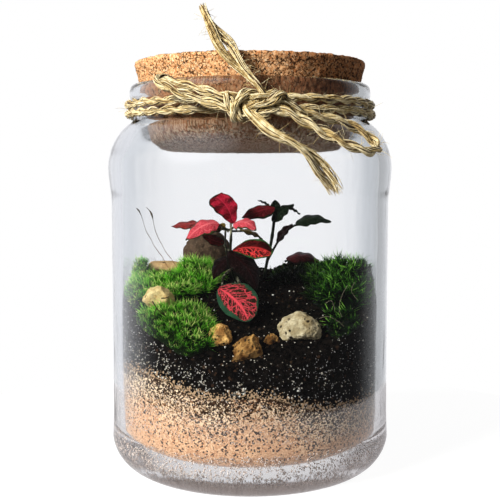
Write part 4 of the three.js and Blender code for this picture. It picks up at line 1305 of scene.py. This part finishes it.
# Each leaf hangs on a stalk and runs from its heel to its tip. arch bends its rib, facing is the way
# that its top faces, width is half its breadth, and fold lifts or drops its margin.
PLANTS = {
    "fittonia_front": {
        "slot": "red_leaf", "stem_look": STEM_LOOK,
        "stems": [[(-2.4, -7.5, 60), (-3, -7.6, 66), (-6, -8, 73), (-6.9, -8, 78.5), (-6.6, -8, 87.7)],
                  [(-3, -7.2, 62), (-6.4, -7, 72), (-8.6, -7, 81.2), (-8.7, -7, 87)]],
        "stem_radii": [0.5, 0.42],
        "leaves": [
            dict(stalk=(-6.6, -8, 87.4), heel=(-6, -8.6, 89.4), tip=(-12.6, -9.6, 101.2),
                 arch=(1.1, -0.8, 0.4), facing=(0.25, -1, 0.35), width=4.7, fold=0.12, broad=1.8,
                 blunt=0.36, ripple=0.7, halves=(1.1, 0.9), kind="crimson"),
            dict(stalk=(-7.1, -8, 87), heel=(-11, -9.6, 89.2), tip=(-22.1, -16, 83.8),
                 arch=(0.4, 0.3, 2.3), facing=(0.1, -0.75, 1), width=4, fold=-0.3, kind="pink"),
            dict(stalk=(-7.8, -7, 87), heel=(-16.9, -4, 88.2), tip=(-29.1, 2.6, 87.5),
                 arch=(0, 0, 1), facing=(0, -0.8, 1), width=2.5, fold=-0.25, kind="russet"),
            dict(stalk=(-6.8, -8, 87.4), heel=(-5.8, -10.5, 88.8), tip=(1.9, -17, 87.2),
                 arch=(0.2, -0.2, 2), facing=(0.25, -0.9, 1), width=3.6, fold=-0.2, kind="pink"),
            dict(stalk=(-7.5, -7.6, 86.3), heel=(-8.6, -7, 88.7), tip=(-14.9, -8.4, 85.6),
                 arch=(0, -0.2, 0.6), facing=(-0.2, -0.9, 0.8), width=1.8, fold=-0.2, kind="olive"),
            dict(stalk=(-6.8, -7.6, 86.6), heel=(-3.6, -6, 86.9), tip=(4.3, -3, 83.1),
                 arch=(0.8, 0.2, 1), facing=(0.5, -0.3, 1), width=2.2, fold=-0.3, kind="olive"),
            dict(stalk=(-6.8, -8, 78.5), heel=(-6, -10, 80), tip=(8, -16, 79.3),
                 arch=(0.3, -0.6, 1.7), facing=(0.05, -1, 0.35), width=3.7, fold=-0.1, broad=1.25,
                 blunt=0.65, halves=(0.9, 1.1), kind="spotted"),
            dict(stalk=(-7.5, -7.4, 79.8), heel=(-9.3, -7, 82.3), tip=(-17, -9, 86),
                 arch=(-0.4, 0, -0.6), facing=(0.2, -1, 0.5), width=2.1, fold=0.2, kind="russet"),
            dict(stalk=(-7.1, -8, 79.9), heel=(-7.8, -9.6, 79.3), tip=(2.1, -15, 66.4),
                 arch=(1.7, -0.8, 1.3), facing=(0.5, -1, 0.5), width=5.2, fold=-0.16, kind="shaded_maroon"),
            dict(stalk=(-7.1, -8, 77), heel=(-7.1, -9.4, 77.1), tip=(-12.7, -12, 69.9),
                 arch=(-0.8, -0.8, 1), facing=(-0.3, -1, 0.5), width=2.8, fold=-0.16, kind="shaded_maroon"),
            dict(stalk=(-3.6, -7.6, 71), heel=(-10.6, -24, 68.1), tip=(-0.3, -31, 57.8),
                 arch=(1.0, -0.8, 1.0), facing=(-0.1, -1, 0.75), width=6.4, fold=-0.1, broad=0.92,
                 blunt=0.6, halves=(1.2, 0.85), stalk_points=[(-5.6, -13, 74), (-9, -19.5, 71.6)],
                 kind="netted"),
        ],
    },
    "fittonia_back": {
        "slot": "dark_leaf", "stem_look": DARK_STEM_LOOK,
        "stems": [
            [(5.2, 6, 60), (5.6, 6, 70), (8, 5.6, 82), (9.4, 5.2, 92.4)],
            [(6.6, 5.8, 75), (9.6, 5.4, 80.4), (13, 5, 85.4), (16.6, 5, 88)],
        ],
        "stem_radii": [0.62, 0.45],
        "leaves": [
            dict(stalk=(9.2, 5.2, 91.6), heel=(9.2, 4, 94.6), tip=(-2.9, -2.4, 90.9),
                 arch=(0.2, 0, 0.7), facing=(0, -1, 0.7), width=3.4, fold=-0.2, kind="wine"),
            dict(stalk=(9.2, 5.2, 91), heel=(9.2, 5, 93.3), tip=(9.2, 4.4, 98.8),
                 arch=(0.2, -0.3, 0), facing=(0, -1, 0.3), width=1.9, fold=0.2, ripple=0.4, kind="dark"),
            dict(stalk=(9, 5.2, 90), heel=(8.7, 5, 89.4), tip=(16.1, 3.4, 96.3),
                 arch=(-0.4, -0.5, 0.5), facing=(0, -1, 0.5), width=2.4, fold=0.15, ripple=0.9,
                 kind="dark"),
            dict(stalk=(9.2, 5.4, 92), heel=(7.1, 8, 95.8), tip=(2.6, 11, 98.5),
                 arch=(0, 0, 0.4), facing=(0.2, -0.7, 1), width=0.8, fold=0.1, kind="dark"),
            dict(stalk=(9.4, 5.3, 91), heel=(14, 5, 94.7), tip=(18.4, 4, 92),
                 arch=(0, 0, 0.3), facing=(0, -0.7, 1), width=0.7, fold=-0.1, kind="dark"),
            dict(stalk=(9.6, 5.4, 80.4), heel=(10.4, 4.6, 81.6), tip=(15.8, 3.2, 88.4),
                 arch=(-0.5, 0, 0.5), facing=(-0.6, -0.8, 0.6), width=1.9, fold=0.1, kind="shaded_maroon"),
            dict(stalk=(16.2, 5, 87.8), heel=(17, 4.9, 88.2), tip=(30, 4, 89),
                 arch=(-0.3, 0, 2.1), facing=(0.1, -0.8, 1), width=2.9, fold=-0.3, kind="dark"),
        ],
    },
    "fittonia_right": {
        "slot": "red_leaf", "stem_look": DARK_STEM_LOOK,
        "stems": [[(13, 21, 62), (13, 21, 69), (13.4, 21, 72.6)]],
        "stem_radii": [0.6],
        "leaves": [
            dict(stalk=(13.5, 21, 73.4), heel=(14, 20.6, 74.2), tip=(26.8, 18.6, 73),
                 arch=(0.4, -0.2, 2.1), facing=(0, -0.6, 1), width=3.8, fold=-0.3, kind="garnet"),
        ],
    },
}


def leaf_blade(name, heel, tip, arch, facing, width, fold, kind, broad=0.72, blunt=0.8, ripple=0.3,
               halves=(1, 1), **_):
    """One leaf. broad and blunt set its outline, ripple waves its margin, and halves are the two
    sides' shares of its width."""
    blade = started(name, bpy.ops.mesh.primitive_grid_add, x_subdivisions=LEAF_COLUMNS,
                    y_subdivisions=LEAF_ROWS, size=1)
    start, end, front = Vector(heel), Vector(tip), Vector(facing)
    bend = start.lerp(end, 0.5) + 2 * Vector(arch)
    for point in blade.data.vertices:
        across, along = 2 * point.co.x, point.co.y + 0.5
        side_share = abs(across)
        rib = start * (1 - along) ** 2 + bend * 2 * along * (1 - along) + end * along ** 2
        forward = ((bend - start) * (1 - along) + (end - bend) * along).normalized()
        side = forward.cross(front).normalized()
        normal = side.cross(forward)
        reach = width * halves[across > 0] * max(math.sin(math.pi * along ** broad) ** blunt, 0.03)
        scallop = 1 + 0.05 * math.sin(2 * math.pi * LEAF_SCALLOPS * along) * side_share ** 4
        wave = ripple * side_share * math.sin(along * 19 + (0 if across > 0 else 1.6))
        between_veins = abs(math.sin(math.pi * ((along - side_share * 0.45) * SIDE_VEINS + 0.5)))
        quilt = 0.2 * between_veins * 4 * side_share * (1 - side_share)
        lift = fold * reach * side_share + wave + quilt
        point.co = (rib + side * across * reach * scallop + normal * lift) * MM
    blade.data.materials.append(LEAF_LOOKS[kind])
    thickness = blade.modifiers.new("thickness", "SOLIDIFY")
    thickness.thickness = LEAF_THICKNESS * MM
    thickness.offset = 0
    finer = blade.modifiers.new("finer", "SUBSURF")
    finer.levels = finer.render_levels = 1
    applied(blade)
    bpy.ops.object.shade_smooth()
    return blade


for node, plant in PLANTS.items():
    strands = new_strands(node + "_stems", [plant["stem_look"]])
    strands.bevel_resolution = 2
    for corners, radius in zip(plant["stems"], plant["stem_radii"]):
        route = smooth_route(corners, STEM_SPACING * MM)
        run = np.arange(len(route)) * STEM_SPACING
        swollen = 1 + 0.22 * np.exp(-((run % NODE_SPACING - NODE_SPACING / 2) / 0.8) ** 2)
        add_strand(strands, route, radius * swollen * np.linspace(1.05, 0.85, len(route)) * MM, 0)
    for leaf in plant["leaves"]:
        inside = tuple(Vector(leaf["heel"]).lerp(Vector(leaf["tip"]), 0.12))
        route = smooth_route([leaf["stalk"], *leaf.get("stalk_points", []), inside], 0.8 * MM)
        add_strand(strands, route, np.linspace(0.42, 0.34, len(route)) * MM, 0)
    whole = made_mesh(node + "_plant", strands)
    blades = [leaf_blade("blade", **leaf) for leaf in plant["leaves"]]
    joined(whole, blades)
    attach(whole, "root")
    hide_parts(node)


# The studio: a small round pale table in white surroundings. A large soft light stands close at
# the left, and a weak one at the right. Light from behind shines through the glass in soft bands,
# so that its edges stand out, and little is mirrored in its front.
TABLE_RADIUS = 0.165
TABLE_GLOW = 0.93

table = started("studio_table", bpy.ops.mesh.primitive_circle_add, vertices=96,
                radius=TABLE_RADIUS, fill_type="NGON")
look = Look("studio_table")
table.data.materials.append(look.surface({
    "Base Color": look.mixed(look.noise(0.2, 2), (0.16, 0.16, 0.16), (0.17, 0.17, 0.17)),
    "Roughness": 0.95,
    "Specular IOR Level": 0.0,
    "Emission Color": look.mixed(look.light_path("Is Camera Ray"), (0.6, 0.58, 0.6), (1, 1, 1)),
    "Emission Strength": TABLE_GLOW,
}))


def soft_light(name, place, aim, size, power, colour):
    lamp = bpy.data.lights.new(name, "AREA")
    lamp.shape = "DISK"
    lamp.size = size
    lamp.energy = power
    lamp.color = colour
    light = bpy.data.objects.new(name, lamp)
    light.location = place
    light.visible_glossy = False
    light.visible_transmission = False
    light.rotation_euler = (Vector(aim) - Vector(place)).to_track_quat("-Z", "Y").to_euler()
    bpy.context.scene.collection.objects.link(light)


soft_light("key", (-0.64, -0.64, 0.55), (0, 0, 0.09), 0.3, 20, (1, 0.98, 0.95))
soft_light("fill", (0.7, -0.5, 0.4), (0, 0, 0.08), 0.5, 0.6, (1, 0.98, 0.95))
soft_light("back", (0.5, 0.8, 0.6), (0, 0, 0.08), 0.5, 3.0, (1, 1, 1))

# What a ray meets out there: the camera's own, one that came through the glass, one that was
# mirrored by it, and one that lights a matt surface.
SEEN = (1, 1, 1)
BEHIND_GLASS = (1.09, 1.065, 1.09)
BEHIND_EDGES = (0.74, 0.75, 0.8)
BEHIND_RIGHT_EDGES = (0.44, 0.45, 0.47)
MIRRORED = (1.0, 1.0, 1.03)
MIRRORED_AT_RIGHT = (0.55, 0.56, 0.57)
MIRRORED_IN_FRONT = (0.03, 0.03, 0.03)
INSIDE_IN_FRONT = (0.06, 0.06, 0.065)
MIRRORED_LIGHT = (2.4, 2.4, 2.5)
SHINING = (0.12, 0.12, 0.12)

look = Look("studio", bpy.data.worlds)
way = look.coordinate("Generated")
x, y, _ = look.axes("Generated")
azimuth = look.node("ShaderNodeMath", {"operation": "ARCTAN2"}, {0: y, 1: x})
bands = (azimuth * 8).cosine().between(-1.0, 0.7)
to_key = {0: way, 1: Vector((-0.62, -0.5, 0.6)).normalized()}
key_share = look.node("ShaderNodeVectorMath", {"operation": "DOT_PRODUCT"}, to_key, "Value")
in_front = (y + x.between(-0.2, -0.7) * 0.3).between(0.75, 0.1)
mirrored = look.mixed(x.between(0.1, 0.8), MIRRORED, MIRRORED_AT_RIGHT)
mirrored = look.mixed(in_front, mirrored, MIRRORED_IN_FRONT)
mirrored = look.mixed(key_share.between(0.8, 0.99), mirrored, MIRRORED_LIGHT)
colour = look.mixed(look.light_path("Is Glossy Ray"), SHINING, mirrored)
edges = look.mixed(x.between(0.15, 0.6), BEHIND_EDGES, BEHIND_RIGHT_EDGES)
inside_glass = look.mixed(in_front, edges, INSIDE_IN_FRONT)
through = look.mixed(bands, edges, BEHIND_GLASS)
through = look.mixed(look.light_path("Glossy Depth").smaller(1), through, inside_glass)
colour = look.mixed(look.light_path("Is Transmission Ray"), colour, through)
colour = look.mixed(look.light_path("Diffuse Depth"), colour, SHINING)
colour = look.mixed(look.light_path("Is Camera Ray"), colour, SEEN)
sky = look.node("ShaderNodeBackground", {}, {"Color": colour, "Strength": 1.0})
look.node("ShaderNodeOutputWorld", {}, {"Surface": sky})
bpy.context.scene.world = look.owner
